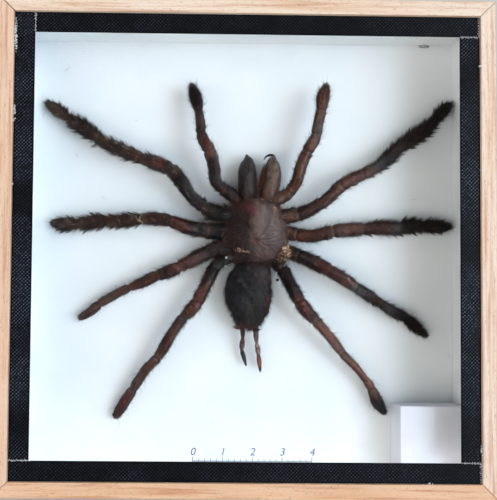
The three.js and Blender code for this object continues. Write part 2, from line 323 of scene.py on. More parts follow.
def backing_finish():
    """White paper on the front of a board, brown fibreboard on its back and edges."""
    finish = paper("backing_paper", rgb(246, 248, 248), rgb(238, 242, 243))
    front = finish.shader.inputs["Base Color"].links[0].from_socket
    chips = finish.grit(1.3, 6, 0.75)
    chip_colours = [(0.3, rgb(104, 76, 52)), (0.5, rgb(140, 106, 74)), (0.72, rgb(172, 138, 102))]
    board = finish.ramp(chips, chip_colours)
    normal = finish.add("SeparateXYZ", {0: finish.add("TexCoord", {}).outputs["Normal"]}).outputs["Y"]
    finish.drive("Base Color", finish.mix(finish.spread(normal, -0.9, -0.7), front, board))
    return finish.material


# ---------------------------------------------------------------------------------------------
# Mesh tools
# ---------------------------------------------------------------------------------------------


def noise3(points, seed):
    """Smooth noise from -1 to 1 at points, an array of shape (..., 3)."""
    cell = np.floor(points).astype(np.int64)
    part = points - cell
    fade = part * part * (3 - 2 * part)
    total = np.zeros(points.shape[:-1])
    for corner in itertools.product((0, 1), repeat=3):
        at = cell + np.array(corner)
        mixed = at[..., 0] * 73856093 ^ at[..., 1] * 19349663 ^ at[..., 2] * 83492791 ^ (seed * 7919 + 101)
        mixed = (mixed & 0xFFFFFFFF) * 0x45D9F3B & 0xFFFFFFFF
        mixed = ((mixed ^ (mixed >> 16)) * 0x45D9F3B) & 0xFFFFFFFF
        value = ((mixed ^ (mixed >> 16)) & 0xFFFF) / 32767.5 - 1
        weight = np.prod(np.where(np.array(corner) == 1, fade, 1 - fade), axis=-1)
        total += weight * value
    return total


def layered(points, seed, layers=3):
    """Several octaves of noise3."""
    return sum(noise3(points * 2**k + 17.3 * k, seed + k) / 2**k for k in range(layers)) / 1.6


def unit(vectors):
    return vectors / np.maximum(np.linalg.norm(vectors, axis=-1, keepdims=True), 1e-9)


def bell(value, middle, width):
    return np.exp(-(((value - middle) / width) ** 2))


def bands(places, width, most):
    """A rule for a loft's skin that gives most at those arcs and fades away over width."""
    return lambda points, arcs: np.clip(sum(bell(arcs, place, width) for place in places), 0, 1) * most


class Bundle:
    """Collects points, faces and point attributes, and makes one object of them."""

    def __init__(self):
        self.points, self.faces, self.count, self.attributes = [], [], 0, {}

    def add(self, points, faces, **attributes):
        """faces is a list of arrays, each with one corner count. An attribute is a number or an array."""
        self.points.append(points)
        self.faces.extend(f + self.count for f in faces)
        self.count += len(points)
        for name, value in attributes.items():
            value = np.broadcast_to(np.asarray(value, float), (len(points), *np.shape(value)[1:]))
            self.attributes.setdefault(name, []).append(value)

    def mesh(self, name):
        points = np.vstack(self.points)
        corners = np.concatenate([f.ravel() for f in self.faces]).astype(np.int32)
        sizes = np.concatenate([np.full(len(f), f.shape[1]) for f in self.faces])
        starts = np.concatenate(([0], np.cumsum(sizes)[:-1])).astype(np.int32)
        mesh = bpy.data.meshes.new(name)
        mesh.vertices.add(len(points))
        mesh.vertices.foreach_set("co", to_world(points).astype(np.float32).ravel())
        mesh.loops.add(len(corners))
        mesh.loops.foreach_set("vertex_index", corners)
        mesh.polygons.add(len(starts))
        mesh.polygons.foreach_set("loop_start", starts)
        for label, parts in self.attributes.items():
            values = np.concatenate(parts).astype(np.float32)
            kind, field = ("FLOAT_VECTOR", "vector") if values.ndim == 2 else ("FLOAT", "value")
            mesh.attributes.new(label, kind, "POINT").data.foreach_set(field, values.ravel())
        mesh.update(calc_edges=True)
        mesh.validate()
        mesh.shade_smooth()
        return mesh

    def piece(self, name, material, slot, *replaced):
        mesh = self.mesh(name)
        mesh.materials.append(material)
        piece = bpy.data.objects.new(name, mesh)
        bpy.context.scene.collection.objects.link(piece)
        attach(piece, "root")
        if replaced:
            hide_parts(*replaced)
        return piece


def above_backing(points, gap=0.08):
    """The same points, none of them deeper than just over the backing."""
    points = points.copy()
    points[..., 2] = np.maximum(points[..., 2], BACKING_FRONT + gap)
    return points


def grid_faces(rows, columns, wrap):
    """Quads of a grid of points, closed round its columns if wrap."""
    row = np.arange(rows - 1)[:, None] * columns
    column = np.arange(columns if wrap else columns - 1)[None, :]
    after = (column + 1) % columns
    quads = np.stack((row + column, row + after, row + columns + after, row + columns + column), axis=-1)
    return quads.reshape(-1, 4)


def ellipse(cosine, sine):
    return cosine, sine


def no_relief(arc, angle, base):
    return 0 * arc


class Loft:
    """A closed skin through rings along a smooth path. arc is the distance from its tip."""

    FINE = 24  # samples of the path between two stations
    NUDGE = 0.05  # millimetres and radians either side of a point, for its normal

    def __init__(self, stations, section=ellipse, relief=no_relief, cap=0.7):
        rows = np.array([(x, y, BACKING_FRONT + h, *sizes, *sizes[:1])[:5] for x, y, h, *sizes in stations])
        rows[:, 3:] /= 2
        gaps = np.sqrt(np.linalg.norm(np.diff(rows[:, :3], axis=0), axis=1))[:, None]
        slope = np.diff(rows, axis=0) / gaps
        inner = (slope[:-1] * gaps[1:] + slope[1:] * gaps[:-1]) / (gaps[:-1] + gaps[1:])
        tangent = np.vstack((slope[:1], inner, slope[-1:]))
        t = np.linspace(0, 1, self.FINE, endpoint=False)[None, :, None]
        first, last = rows[:-1, None], rows[1:, None]
        pull, push = gaps[:, None] * tangent[:-1, None], gaps[:, None] * tangent[1:, None]
        curve = (
            first * (2 * t**3 - 3 * t**2 + 1)
            + pull * (t**3 - 2 * t**2 + t)
            + last * (3 * t**2 - 2 * t**3)
            + push * (t**3 - t**2)
        )
        path = np.vstack((curve.reshape(-1, 5), rows[-1:]))
        self.arcs = np.concatenate(([0], np.cumsum(np.linalg.norm(np.diff(path[:, :3], axis=0), axis=1))))
        self.length = self.arcs[-1]
        along = unit(np.gradient(path[:, :3], self.arcs, axis=0))
        across = unit(np.cross(OUT, along))
        self.columns = np.hstack((path, along, across, np.cross(along, across)))
        self.section, self.relief = section, relief
        self.cap = (cap * path[0, 3] * 2, cap * path[-1, 3] * 2)
        self.station_arcs = self.arcs[:: self.FINE]

    def row(self, arc):
        return np.stack([np.interp(arc, self.arcs, c) for c in self.columns.T], axis=-1)

    def place(self, arc, angle):
        """Points of the skin at those arcs and at angles from the across direction towards OUT."""
        row = self.row(arc)
        a, b = self.section(np.cos(angle), np.sin(angle))
        ends = np.minimum(arc / self.cap[0], (self.length - arc) / self.cap[1])
        close = np.sqrt(np.clip(1 - (1 - np.clip(ends, 0, 1)) ** 2, 0, 1))[..., None]
        across = row[..., 8:11] * (a * row[..., 3])[..., None]
        up = row[..., 11:14] * (b * row[..., 4])[..., None]
        radial = across + up
        base = row[..., :3] + radial * close
        lift = self.relief(arc, angle, base)[..., None]
        return above_backing(base + unit(radial) * lift * close)

    def normal(self, arc, angle):
        by_arc = self.place(arc + self.NUDGE, angle) - self.place(arc - self.NUDGE, angle)
        by_angle = self.place(arc, angle + self.NUDGE) - self.place(arc, angle - self.NUDGE)
        return unit(np.cross(by_arc, by_angle) * -1)

    def rings(self, step):
        quarter = 1 - np.cos(np.linspace(0, math.pi / 2, 6))[1:]
        middle = np.linspace(self.cap[0], self.length - self.cap[1], max(3, round(self.length / step)))
        tail = self.length - self.cap[1] * quarter[::-1]
        return np.concatenate((self.cap[0] * quarter[:-1], middle, tail[1:]))

    def add_to(self, bundle, step, sides, **extra):
        """Adds the skin to a bundle. Its share is 0 at the tip, and skin is its place on a straight limb."""
        turn = np.arange(sides) * 2 * math.pi / sides
        arc, angle = np.meshgrid(self.rings(step), turn, indexing="ij")
        points = self.place(arc, angle).reshape(-1, 3)
        row = self.row(arc)
        skin = np.stack((arc, row[..., 3] * np.cos(angle), row[..., 3] * np.sin(angle)), axis=-1)
        skin = skin.reshape(-1, 3)
        poles = above_backing(self.columns[[0, -1], :3])
        count = len(points)
        ring, last = np.arange(sides), count - sides + np.arange(sides)
        front = np.stack((np.full(sides, count), np.roll(ring, -1), ring), axis=-1)
        back = np.stack((np.full(sides, count + 1), last, np.roll(last, -1)), axis=-1)
        quads = grid_faces(arc.shape[0], sides, wrap=True)
        all_arcs = np.concatenate((arc.ravel(), (0, self.length)))
        attributes = {
            "skin": np.vstack((skin, ((0, 0, 0), (self.length, 0, 0)))),
            "share": all_arcs / self.length,
            # 0 on the limb's top, rising to 1 at its sides and all round its underside, where the finishes
            # paint shade
            "flank": np.concatenate((np.where(np.sin(angle) > 0, np.abs(np.cos(angle)), 1).ravel(), (1, 1))),
        }
        for name, rule in extra.items():
            attributes[name] = rule(np.vstack((points, poles)), all_arcs)
        bundle.add(np.vstack((points, poles)), [quads, front, back], **attributes)
        return bundle


def hairs(bundle, roots, aims, lengths, radius, bend=None, **attributes):
    """Closed three-sided hairs. With bend, a vector for each hair, they curve that way half way up."""
    side = unit(np.cross(aims, np.where(np.abs(aims[:, 2:]) > 0.9, (1.0, 0, 0), (0, 0, 1.0))))
    other = np.cross(aims, side)
    turn = np.arange(3) * 2 * math.pi / 3
    ring = side[:, None] * np.cos(turn)[None, :, None] + other[:, None] * np.sin(turn)[None, :, None]
    reach = lengths[:, None]
    count = len(roots)
    low = roots - aims * 0.08
    rings = [low[:, None] + ring * np.reshape(radius, (-1, 1, 1))]
    tips = roots + aims * reach
    if bend is not None:
        middle = roots + aims * reach * 0.5
        rings.append(middle[:, None] + ring * np.reshape(radius, (-1, 1, 1)) * 0.72)
        tips = roots + (aims * 0.92 + bend * 0.42) * reach
    points = np.concatenate((*rings, tips[:, None]), axis=1)
    size = points.shape[1]
    first = np.arange(count)[:, None] * size
    faces = [first + np.array([[0, 2, 1]])]
    for k in range(3):
        after = (k + 1) % 3
        if bend is not None:
            faces.append(first + np.array([[k, after, 3 + after, 3 + k]]))
        faces.append(first + np.array([[size - 4 + k, size - 4 + after, size - 1]]))
    spread = {n: np.repeat(np.broadcast_to(v, (count,)), size) for n, v in attributes.items()}
    height = np.tile(np.concatenate((np.zeros(3), np.full(size - 4, 0.5), (1.0,))), count)
    bundle.add(above_backing(points.reshape(-1, 3), 0.04), faces, height=height, **spread)


def thread(bundle, points, radius, sides=5):
    """A thin closed tube along points."""
    points = np.asarray(points, float)
    along = unit(np.gradient(points, axis=0))
    side = unit(np.cross(along, OUT + 0.01))
    other = np.cross(along, side)
    turn = np.arange(sides) * 2 * math.pi / sides
    girth = np.broadcast_to(np.asarray(radius, float), (len(points),))[:, None, None]
    ring = side[:, None] * np.cos(turn)[None, :, None] + other[:, None] * np.sin(turn)[None, :, None]
    tube = (points[:, None] + ring * girth).reshape(-1, 3)
    caps = [np.arange(sides)[None, ::-1], (len(tube) - sides + np.arange(sides))[None]]
    faces = [grid_faces(len(points), sides, wrap=True), *caps]
    bundle.add(tube, faces)


def ball(level):
    shape = bmesh.new()
    bmesh.ops.create_icosphere(shape, subdivisions=level, radius=1)
    points = np.array([v.co for v in shape.verts])
    faces = np.array([[v.index for v in f.verts] for f in shape.faces])
    shape.free()
    return points, faces


BALLS = {level: ball(level) for level in (1, 2, 3)}


def lump(bundle, centre, size, seed, rough=0.25, level=2, **attributes):
    """An uneven blob, with its half sizes along x, y and z."""
    points, faces = BALLS[level]
    swell = 1 + rough * layered(points * 1.7, seed)[:, None]
    bundle.add(np.asarray(centre) + points * swell * np.asarray(size), [faces], **attributes)


# ---------------------------------------------------------------------------------------------
# The box
# ---------------------------------------------------------------------------------------------


def soften(node, width):
    """Rounds a CAD node's edges."""
    weld = node.modifiers.new("weld", "WELD")
    weld.merge_threshold = 1e-6
    bevel = node.modifiers.new("bevel", "BEVEL")
    bevel.width, bevel.segments, bevel.limit_method = width * MM, 3, "ANGLE"
    bevel.harden_normals = False
    for polygon in node.data.polygons:
        polygon.use_smooth = False


def paint(node, material):
    node.material_slots[0].link = "OBJECT"
    node.material_slots[0].material = material


# The lamps shine through the clear pane, and up past the bottom strip as light does off a table top.
LIGHT_PASSES = ("glass_pane", "frame_bottom", "liner_bottom")
# Each wooden strip's place in the grain, and its tint.
STRIPS = {
    "bottom": ((3, 0, 41), rgb(242, 226, 208)), "right": ((7, 2, 5), rgb(248, 252, 255)),
    "top": ((11, 5, 12), rgb(248, 253, 255)), "left": ((17, 9, 30), rgb(240, 230, 222)),
}
WOOD_EDGE, CARD_EDGE = 0.22, 0.25  # how wide their rounded edges are


def make_box():
    liner = paper("liner_paper", rgb(250, 251, 251), rgb(240, 243, 243)).material
    for side in SIDES_OF_BOX:
        along = 0 if side in ("bottom", "top") else 2
        paint(nodes[f"frame_{side}"], wood_finish(f"wood_{side}", along, *STRIPS[side]))
        soften(nodes[f"frame_{side}"], WOOD_EDGE)
        paint(nodes[f"liner_{side}"], liner)
    for name in LIGHT_PASSES:
        nodes[name].visible_shadow = False
    paint(nodes["backing_board"], backing_finish())
    paint(nodes["mothball_cell"], paper("cell_card", rgb(246, 245, 250), rgb(232, 231, 240)).material)
    soften(nodes["mothball_cell"], CARD_EDGE)
    paint(nodes["glass_pane"], glass_finish())


WEAVE_PITCH = 1.12  # from one raised thread to the next along a thread
WEAVE_DEPTH = 0.07
TAPE_STEP = 0.26  # between neighbouring points of the mesh
TAPE_SINK = 0.12  # how far the cloth lies under its CAD solid's face
TAPE_EDGE = 0.35  # how far in from its edges the cloth is pressed down
# How strongly each strip's thread tops are painted with a glint.
TAPE_GLINT = {"bottom": 0.16, "right": 0.5, "top": 0.16, "left": 0.5}


def woven_face(low, high):
    """The cloth's face as a grid of points, and how near each of them is to the crest of a thread."""
    counts = [round((high[k] - low[k]) / TAPE_STEP) for k in (0, 1)]
    x, y = np.meshgrid(*(np.linspace(low[k], high[k], counts[k] + 1) for k in (0, 1)), indexing="ij")
    flat = np.stack((x, y, 0 * x), -1)
    wave = 2 * math.pi / WEAVE_PITCH
    crest = 0.5 + 0.5 * np.cos(wave * x + 0.6 * noise3(flat / 9, 5)) * np.cos(wave * y)
    rise = WEAVE_DEPTH * crest + 0.05 * noise3(flat / 6, 9)
    edge = np.minimum(np.minimum(x - low[0], high[0] - x), np.minimum(y - low[1], high[1] - y))
    settle = np.clip(edge / TAPE_EDGE, 0, 1)
    thick = high[2] - low[2]
    z = low[2] + thick * (0.35 + 0.65 * settle) - TAPE_SINK * settle + rise * settle
    return np.stack((x, y, z), -1), crest * settle


def grid_border(rows, columns):
    """The numbers of a grid's outermost points, in order round it."""
    return np.concatenate((
        np.arange(columns), np.arange(1, rows) * columns + columns - 1,
        (rows - 1) * columns + np.arange(columns - 2, -1, -1), np.arange(rows - 2, 0, -1) * columns,
    ))


def make_tape():
    for side in SIDES_OF_BOX:
        low, high = panel_box(f"tape_{side}")
        top, crest = woven_face(low, high)
        border = grid_border(*crest.shape)
        points = top.reshape(-1, 3)
        bottom = points[border] * (1, 1, 0) + (0, 0, low[2])
        rim = np.arange(len(border))
        walls = np.stack((border, rim + crest.size, np.roll(rim, -1) + crest.size, np.roll(border, -1)), -1)
        bundle = Bundle()
        bundle.add(
            np.vstack((points, bottom)),
            [grid_faces(*crest.shape, wrap=False), walls[:, ::-1], rim[None, ::-1] + crest.size],
            crest=np.concatenate((crest.ravel(), np.zeros(len(border)))),
        )
        cloth = tape_finish(side, TAPE_GLINT[side])
        tape = bundle.piece(f"cloth_tape_{side}", cloth, "tape", f"tape_{side}")
        tape.visible_shadow = side != "bottom"


# ---------------------------------------------------------------------------------------------
# The spider
# ---------------------------------------------------------------------------------------------

# A station is [x, y, height above the backing, width] and a body station adds a thickness.
# A limb runs from tip to root, and joints are the stations where its segments meet.
LIMBS = {
    "pedipalp_left": [
        [-17.5, 133, 5, 1.8], [-16, 128, 6, 3.6], [-15, 123.5, 7, 2.8], [-14.5, 119.5, 8, 3.2],
        [-14, 115, 8.5, 3.2], [-11.5, 110, 8.5, 3.6], [-10, 104.5, 8, 3.7], [-9.5, 100.5, 7, 3.7],
        [-7, 98, 6, 3.8], [-4, 96, 5.5, 4], [-2, 94.5, 5, 4],
    ],
    "leg_left_1": [
        [-66.5, 127.5, 2, 1.6], [-62.5, 124.5, 2.5, 3.2], [-58.5, 121.5, 3.5, 2.6], [-54, 118.5, 4, 3.4],
        [-47.5, 114, 5, 2.8], [-41, 110.5, 6, 3.6], [-33.5, 107.5, 6.5, 3.4], [-29, 106, 7, 4.2],
        [-24.5, 104, 7, 4], [-21, 100.5, 7, 4.2], [-17.5, 95.5, 6, 3.8], [-13, 92, 5, 4.4],
        [-10, 90.3, 4.5, 5.2], [-5.5, 89.3, 4.5, 5.8],
    ],
    "leg_left_2": [
        [-64, 86.5, 2, 1.6], [-59.5, 86, 2.5, 3.4], [-54.5, 86, 3.5, 2.6], [-50, 86.5, 4, 3.2],
        [-45, 87, 4.5, 2.8], [-39, 87, 5.5, 3.4], [-33.5, 87.5, 6, 3], [-29, 87.5, 6.5, 4.2],
        [-24, 87, 7, 4], [-19, 85, 6.5, 4.4], [-12.5, 84, 5, 4.6], [-10, 84, 4.5, 5.2],
        [-5.5, 84, 4.5, 5.8],
    ],
    "leg_left_3": [
        [-54.5, 54.5, 2, 1.8], [-50.5, 57, 2.5, 3], [-47.5, 59.5, 3, 2.7], [-42.5, 62.5, 3.5, 2.8],
        [-37.5, 65, 4, 2.6], [-32.5, 67, 4.5, 3.2], [-28.5, 69, 5.5, 3.1], [-24.5, 70, 6, 3.8],
        [-21, 72, 6.5, 3.8], [-17, 74, 6, 4.2], [-11.5, 77, 5, 4.6], [-9, 78, 4.5, 5], [-5, 79, 4.5, 5.4],
    ],
    "leg_left_4": [
        [-42, 21.5, 2, 1.8], [-39.5, 26, 2.5, 3.2], [-36, 31.5, 3.5, 2.6], [-31.5, 38, 4, 2.8],
        [-28, 42, 5, 2.8], [-24, 48.5, 6, 3.2], [-19.5, 55.5, 6.5, 3.3], [-17, 58, 7, 4],
        [-15, 60.5, 7, 3.9], [-12.5, 65.5, 6.5, 3.7], [-9.5, 71.5, 5, 4], [-7.5, 73.5, 4.5, 4],
        [-4, 75.5, 4.5, 3.6],
    ],
    "pedipalp_right": [
        [27, 132.5, 8, 1.8], [25.5, 127.5, 9, 3.6], [25, 123.5, 9.5, 3], [24, 119.5, 9.5, 3],
        [23, 114.5, 9.5, 3.4], [20.5, 110, 9, 3.8], [18.5, 105, 8, 3.7], [17.5, 100.5, 7, 3.6],
        [15, 97, 6, 3.8], [12, 95, 5.5, 4], [9.5, 93.5, 5, 4],
    ],
    "leg_right_1": [
        [70.5, 128.5, 2, 1.6], [68, 126, 2.5, 3], [64.5, 122, 3.5, 2.6], [59, 117.5, 4, 3.6],
        [52, 112.5, 5, 3.2], [45.5, 106.5, 6, 3.2], [39.5, 103, 6.5, 3.4], [35, 101, 7, 4],
        [32, 99, 7, 4], [25.5, 93, 6.5, 3.6], [18.5, 90, 5, 4.4], [16, 89.5, 4.5, 4.6], [11.5, 89, 4.5, 4.4],
    ],
    "leg_right_2": [
        [70.5, 86.5, 2, 1.6], [65.5, 86.5, 2.5, 3.4], [60, 86.5, 3.5, 2.6], [56, 86.5, 4, 3.4],
        [52, 85.5, 4.5, 3], [45.5, 85.5, 5.5, 3.4], [39.5, 85, 6, 3.4], [34.5, 84.5, 6.5, 4.2],
        [29.5, 84, 7, 4.1], [23.5, 82.5, 6.5, 4], [18, 83, 5, 4.2], [15.5, 83.5, 4.5, 4.2],
        [11, 83.5, 4.5, 4.2],
    ],
    "leg_right_3": [
        [62, 49.8, 2, 1.5], [58, 53, 2.5, 2.4], [54.5, 56, 3, 2.5], [50, 58, 3.5, 2.7], [46, 60.5, 4, 2.7],
        [42, 63, 4.5, 3], [37.5, 65.5, 5.5, 3.2], [33, 68.5, 6, 3.6], [28.5, 71, 6.5, 3.8],
        [24, 73.5, 6, 4], [18.5, 76, 5, 4.2], [16, 77, 4.5, 4.2], [11, 78.5, 4.5, 3.8],
    ],
    "leg_right_4": [
        [48, 23.5, 2, 1.6], [45.5, 27.5, 2.5, 3.4], [43, 32.5, 3.5, 2.8], [38.5, 38.5, 4, 2.2],
        [33, 44, 5, 2.6], [28.5, 49.5, 6, 3], [24, 54.5, 6.5, 3.2], [21, 57.5, 7, 3.9],
        [18.5, 61, 7, 3.9], [15.5, 66.5, 6.5, 3.9], [13, 71.5, 5, 4], [11.5, 73.5, 4.5, 4],
        [8.5, 75.5, 4.5, 3.6],
    ],
}
CEPHALOTHORAX = [
    [4.6, 95.6, 5, 9, 4.4], [4.6, 94.5, 5, 12.4, 6.8], [4.5, 92.8, 5, 14.4, 8.4], [4.3, 89.5, 5, 17.6, 9.6],
    [4.1, 86.5, 5, 20, 10.2], [4, 83.5, 5, 21.2, 10.2], [4, 80.5, 4.9, 20.8, 9.8], [4.1, 77.8, 4.7, 19, 8.8],
    [4.3, 75.4, 4.5, 15.6, 7.4], [4.6, 73.4, 4.3, 11, 5.6], [4.7, 72.2, 4.2, 5, 3.4],
]
ABDOMEN = [
    [4.3, 75.5, 4.4, 8, 4.6], [4, 73.2, 4.5, 10, 6], [3.6, 71.2, 4.8, 11.6, 7.6], [2.9, 69, 5, 13.2, 8.6],
    [2.2, 66.5, 5.1, 14.8, 9.4], [2, 64.2, 5.1, 15.4, 9.6], [2.1, 61.2, 5, 14.6, 9.2],
    [2.1, 58.6, 4.8, 13, 8.6], [2.2, 56.2, 4.6, 10.5, 7.6], [2.5, 53.8, 4.4, 8, 6.2],
    [2.7, 52.4, 4.2, 5.8, 5], [2.7, 51.7, 4, 3.4, 3.4],
]
CHELICERAE = {
    "chelicera_left": [
        [0.95, 109.6, 5, 0.5, 0.6], [1.15, 108.6, 5.1, 1.7, 2], [1.45, 107.3, 5.4, 3.5, 3.6],
        [1.3, 105.8, 5.6, 4.9, 4.8], [1.2, 103.5, 5.8, 5.7, 5.6], [1.2, 100, 6, 5.7, 6],
        [1.3, 96.5, 6, 5.6, 6], [1.5, 93.5, 5.4, 5, 5.2],
    ],
    "chelicera_right": [
        [10.2, 109.2, 5, 0.7, 0.8], [10, 108.4, 5.2, 1.9, 2.1], [9.6, 107.2, 5.4, 3.4, 3.4],
        [9.7, 105.4, 5.6, 4.7, 4.8], [9.6, 103.6, 5.8, 5.4, 5.4], [9.3, 101.6, 6, 5.9, 6],
        [8.9, 99.4, 6, 6, 6.1], [8.2, 96.8, 6, 5.6, 6], [7.5, 93.5, 5.4, 4.8, 5.2],
    ],
}
FANGS = {
    "fang_left": [
        [1.4, 109.3, 3.2, 1.3], [1.6, 108.6, 2.2, 1.1], [1.9, 106.8, 1.9, 0.8], [2.1, 104.8, 2, 0.6],
        [2.2, 103, 2.1, 0.3],
    ],
    "fang_right": [
        [10.3, 108.4, 5.2, 1.2], [10, 109.1, 5.1, 1], [9.1, 109.5, 5, 0.8], [8.2, 109.4, 4.8, 0.65],
        [7.4, 108.9, 4.6, 0.45], [6.8, 108.1, 4.5, 0.25],
    ],
}
SPINNERETS = {
    "spinneret_left": [
        [1.6, 39.3, 2, 0.4], [0.7, 42.4, 2.4, 1.4], [0.1, 44.6, 2.6, 1.3], [0.1, 46.4, 2.8, 1.8],
        [0.3, 48.6, 3, 1.2], [0.2, 50.5, 3.2, 1.5], [0.1, 53.8, 3.4, 1.4],
    ],
    "spinneret_right": [
        [6.3, 37.3, 2, 0.4], [5.9, 40.6, 2.4, 1.5], [5.6, 43, 2.6, 1.2], [5.4, 44.8, 2.8, 1.6],
        [5, 47, 3, 1], [4.7, 49.6, 3.2, 1.6], [4.3, 53.8, 3.4, 1.7],
    ],
}

ROOT = 3  # how far a limb runs on inside the body
LIMB_SIDES, LIMB_STEP = 26, 0.42
# The stations where a limb's segments meet.
LEG_JOINTS = (2, 4, 6, 8, 10)
JOINTS = {"leg_left_1": (2, 4, 6, 8, 11), "pedipalp_left": (2, 3.8, 5, 8), "pedipalp_right": (2, 3.8, 5, 8)}

INK = rgb(20, 15, 14)
SOOT = rgb(28, 19, 18)
UMBER = rgb(44, 27, 23)
RUST = rgb(64, 35, 28)
RED = rgb(86, 33, 27)
ORANGE = rgb(88, 50, 36)
PINK = rgb(118, 70, 60)
OLIVE = rgb(82, 72, 58)
SLATE = rgb(36, 38, 44)
GREY = rgb(84, 86, 84)
TAN = rgb(100, 74, 58)
CLAY = rgb(112, 78, 62)
TEAL = rgb(30, 42, 46)
MAUVE = rgb(96, 66, 68)
ROSE = rgb(168, 126, 118)
AMBER = rgb(142, 78, 50)
SIENNA = rgb(124, 70, 52)

# Colour of each limb's skin by share of its length from the tip.
SKIN = {
    "leg_left_1": [
        (0, GREY), (0.04, TAN), (0.11, TAN), (0.15, RUST), (0.25, UMBER), (0.33, TAN), (0.38, UMBER),
        (0.43, UMBER), (0.47, RUST), (0.54, UMBER), (0.58, RED), (0.62, UMBER), (0.7, INK), (0.8, INK),
        (0.855, UMBER), (0.88, INK),
    ],
    "leg_left_2": [
        (0, SLATE), (0.1, RUST), (0.17, TAN), (0.22, RUST), (0.34, ORANGE), (0.42, RUST), (0.5, RUST),
        (0.56, RUST), (0.62, SOOT), (0.69, RED), (0.75, UMBER), (0.8, SOOT), (0.84, SLATE), (0.88, INK),
    ],
    "leg_left_3": [
        (0, OLIVE), (0.06, RUST), (0.16, ORANGE), (0.2, OLIVE), (0.3, ORANGE), (0.42, RUST),
        (0.5, ORANGE), (0.57, SOOT), (0.63, ORANGE), (0.7, RED), (0.78, UMBER), (0.86, SOOT),
        (0.91, UMBER), (0.95, INK),
    ],
    "leg_left_4": [
        (0, SLATE), (0.03, RUST), (0.1, RED), (0.2, RUST), (0.3, ORANGE), (0.37, CLAY), (0.4, RUST),
        (0.5, ORANGE), (0.58, UMBER), (0.64, ORANGE), (0.69, RED), (0.73, PINK), (0.77, RUST),
        (0.82, SOOT), (0.92, INK), (1, SLATE),
    ],
    "pedipalp_left": [
        (0, INK), (0.12, SOOT), (0.22, UMBER), (0.3, OLIVE), (0.36, UMBER), (0.46, RUST), (0.54, PINK),
        (0.58, UMBER), (0.7, SOOT), (0.85, UMBER), (0.9, UMBER), (1, RUST),
    ],
    "pedipalp_right": [
        (0, OLIVE), (0.1, PINK), (0.22, CLAY), (0.34, OLIVE), (0.44, CLAY), (0.52, RED), (0.58, CLAY),
        (0.75, ORANGE), (0.84, CLAY), (0.88, TAN), (0.94, ORANGE),
    ],
    "leg_right_1": [
        (0, INK), (0.16, INK), (0.24, UMBER), (0.28, INK), (0.37, UMBER), (0.42, SLATE), (0.47, GREY),
        (0.5, CLAY), (0.56, RED), (0.66, ORANGE), (0.78, RUST), (0.86, UMBER), (0.9, TAN), (0.94, RUST),
    ],
    "leg_right_2": [
        (0, INK), (0.16, INK), (0.28, SOOT), (0.32, GREY), (0.38, ORANGE), (0.47, RUST), (0.5, ORANGE),
        (0.55, PINK), (0.62, ORANGE), (0.7, RUST), (0.85, ORANGE), (0.9, TAN), (0.94, RUST),
    ],
    "leg_right_3": [
        (0, INK), (0.14, INK), (0.22, SOOT), (0.26, GREY), (0.31, UMBER), (0.36, RUST), (0.44, SLATE),
        (0.49, GREY), (0.53, PINK), (0.58, RUST), (0.66, RED), (0.74, UMBER), (0.86, SOOT),
        (0.9, ORANGE), (1, TAN),
    ],
    "leg_right_4": [
        (0, INK), (0.07, INK), (0.1, UMBER), (0.14, CLAY), (0.2, SIENNA), (0.28, SIENNA), (0.36, CLAY),
        (0.44, SIENNA), (0.52, SIENNA), (0.57, CLAY), (0.6, UMBER), (0.64, RED), (0.7, RED), (0.74, INK),
        (0.84, SOOT), (1, SOOT),
    ],
    "spinneret_left": [(0, TEAL), (0.34, TEAL), (0.38, MAUVE), (0.62, MAUVE), (0.66, SLATE), (1, SLATE)],
    "spinneret_right": [
        (0, INK), (0.1, INK), (0.14, AMBER), (0.33, AMBER), (0.36, ROSE), (0.56, ROSE), (0.62, MAUVE),
        (1, MAUVE),
    ],
}

# Coats: share, cover, length of the short hairs and cover of the long ones.
SHAGGY = [
    (0, 1.2, 1.0, 0.3), (0.05, 1.8, 1.3, 1.0), (0.2, 2.0, 1.6, 2.0), (0.36, 1.5, 1.4, 1.6),
    (0.5, 0.9, 1.1, 1.0), (0.6, 0.5, 0.8, 0.7), (0.8, 0.4, 0.8, 0.7), (1, 0.5, 0.9, 0.8),
]
USUAL = [
    (0, 1.8, 1.0, 0.6), (0.08, 2.2, 1.3, 1.3), (0.18, 1.9, 1.3, 1.3), (0.3, 1.2, 0.9, 0.9),
    (0.46, 0.5, 0.7, 0.7), (0.62, 0.4, 0.7, 0.7), (0.8, 0.4, 0.8, 0.7), (1, 0.5, 0.9, 0.8),
]
SLEEK = [
    (0, 1.0, 0.5, 0.4), (0.1, 0.9, 0.55, 0.5), (0.2, 0.7, 0.6, 0.6), (0.4, 0.6, 0.65, 0.7),
    (0.6, 0.5, 0.7, 0.8), (1, 0.6, 0.9, 0.9),
]
BRUSHY = [
    (0, 1.6, 0.8, 0.5), (0.06, 1.8, 1.1, 1.0), (0.18, 1.4, 1.0, 0.9), (0.26, 0.7, 0.7, 0.5),
    (0.6, 0.5, 0.6, 0.5), (1, 0.6, 0.8, 0.6),
]
COATS = {
    "leg_left_1": SHAGGY, "leg_left_2": SHAGGY, "leg_right_1": SHAGGY, "leg_right_2": SHAGGY,
    "leg_right_3": USUAL, "leg_left_3": SLEEK, "leg_left_4": SLEEK, "leg_right_4": SLEEK,
    "pedipalp_left": BRUSHY, "pedipalp_right": BRUSHY,
}
# How much of the hair is pale, on the legs where some is.
FROST = {
    "leg_left_1": 0.95, "leg_left_2": 0.7, "leg_left_3": 0.3, "leg_left_4": 0.4,
    "leg_right_1": 0.2, "leg_right_2": 0.15,
}
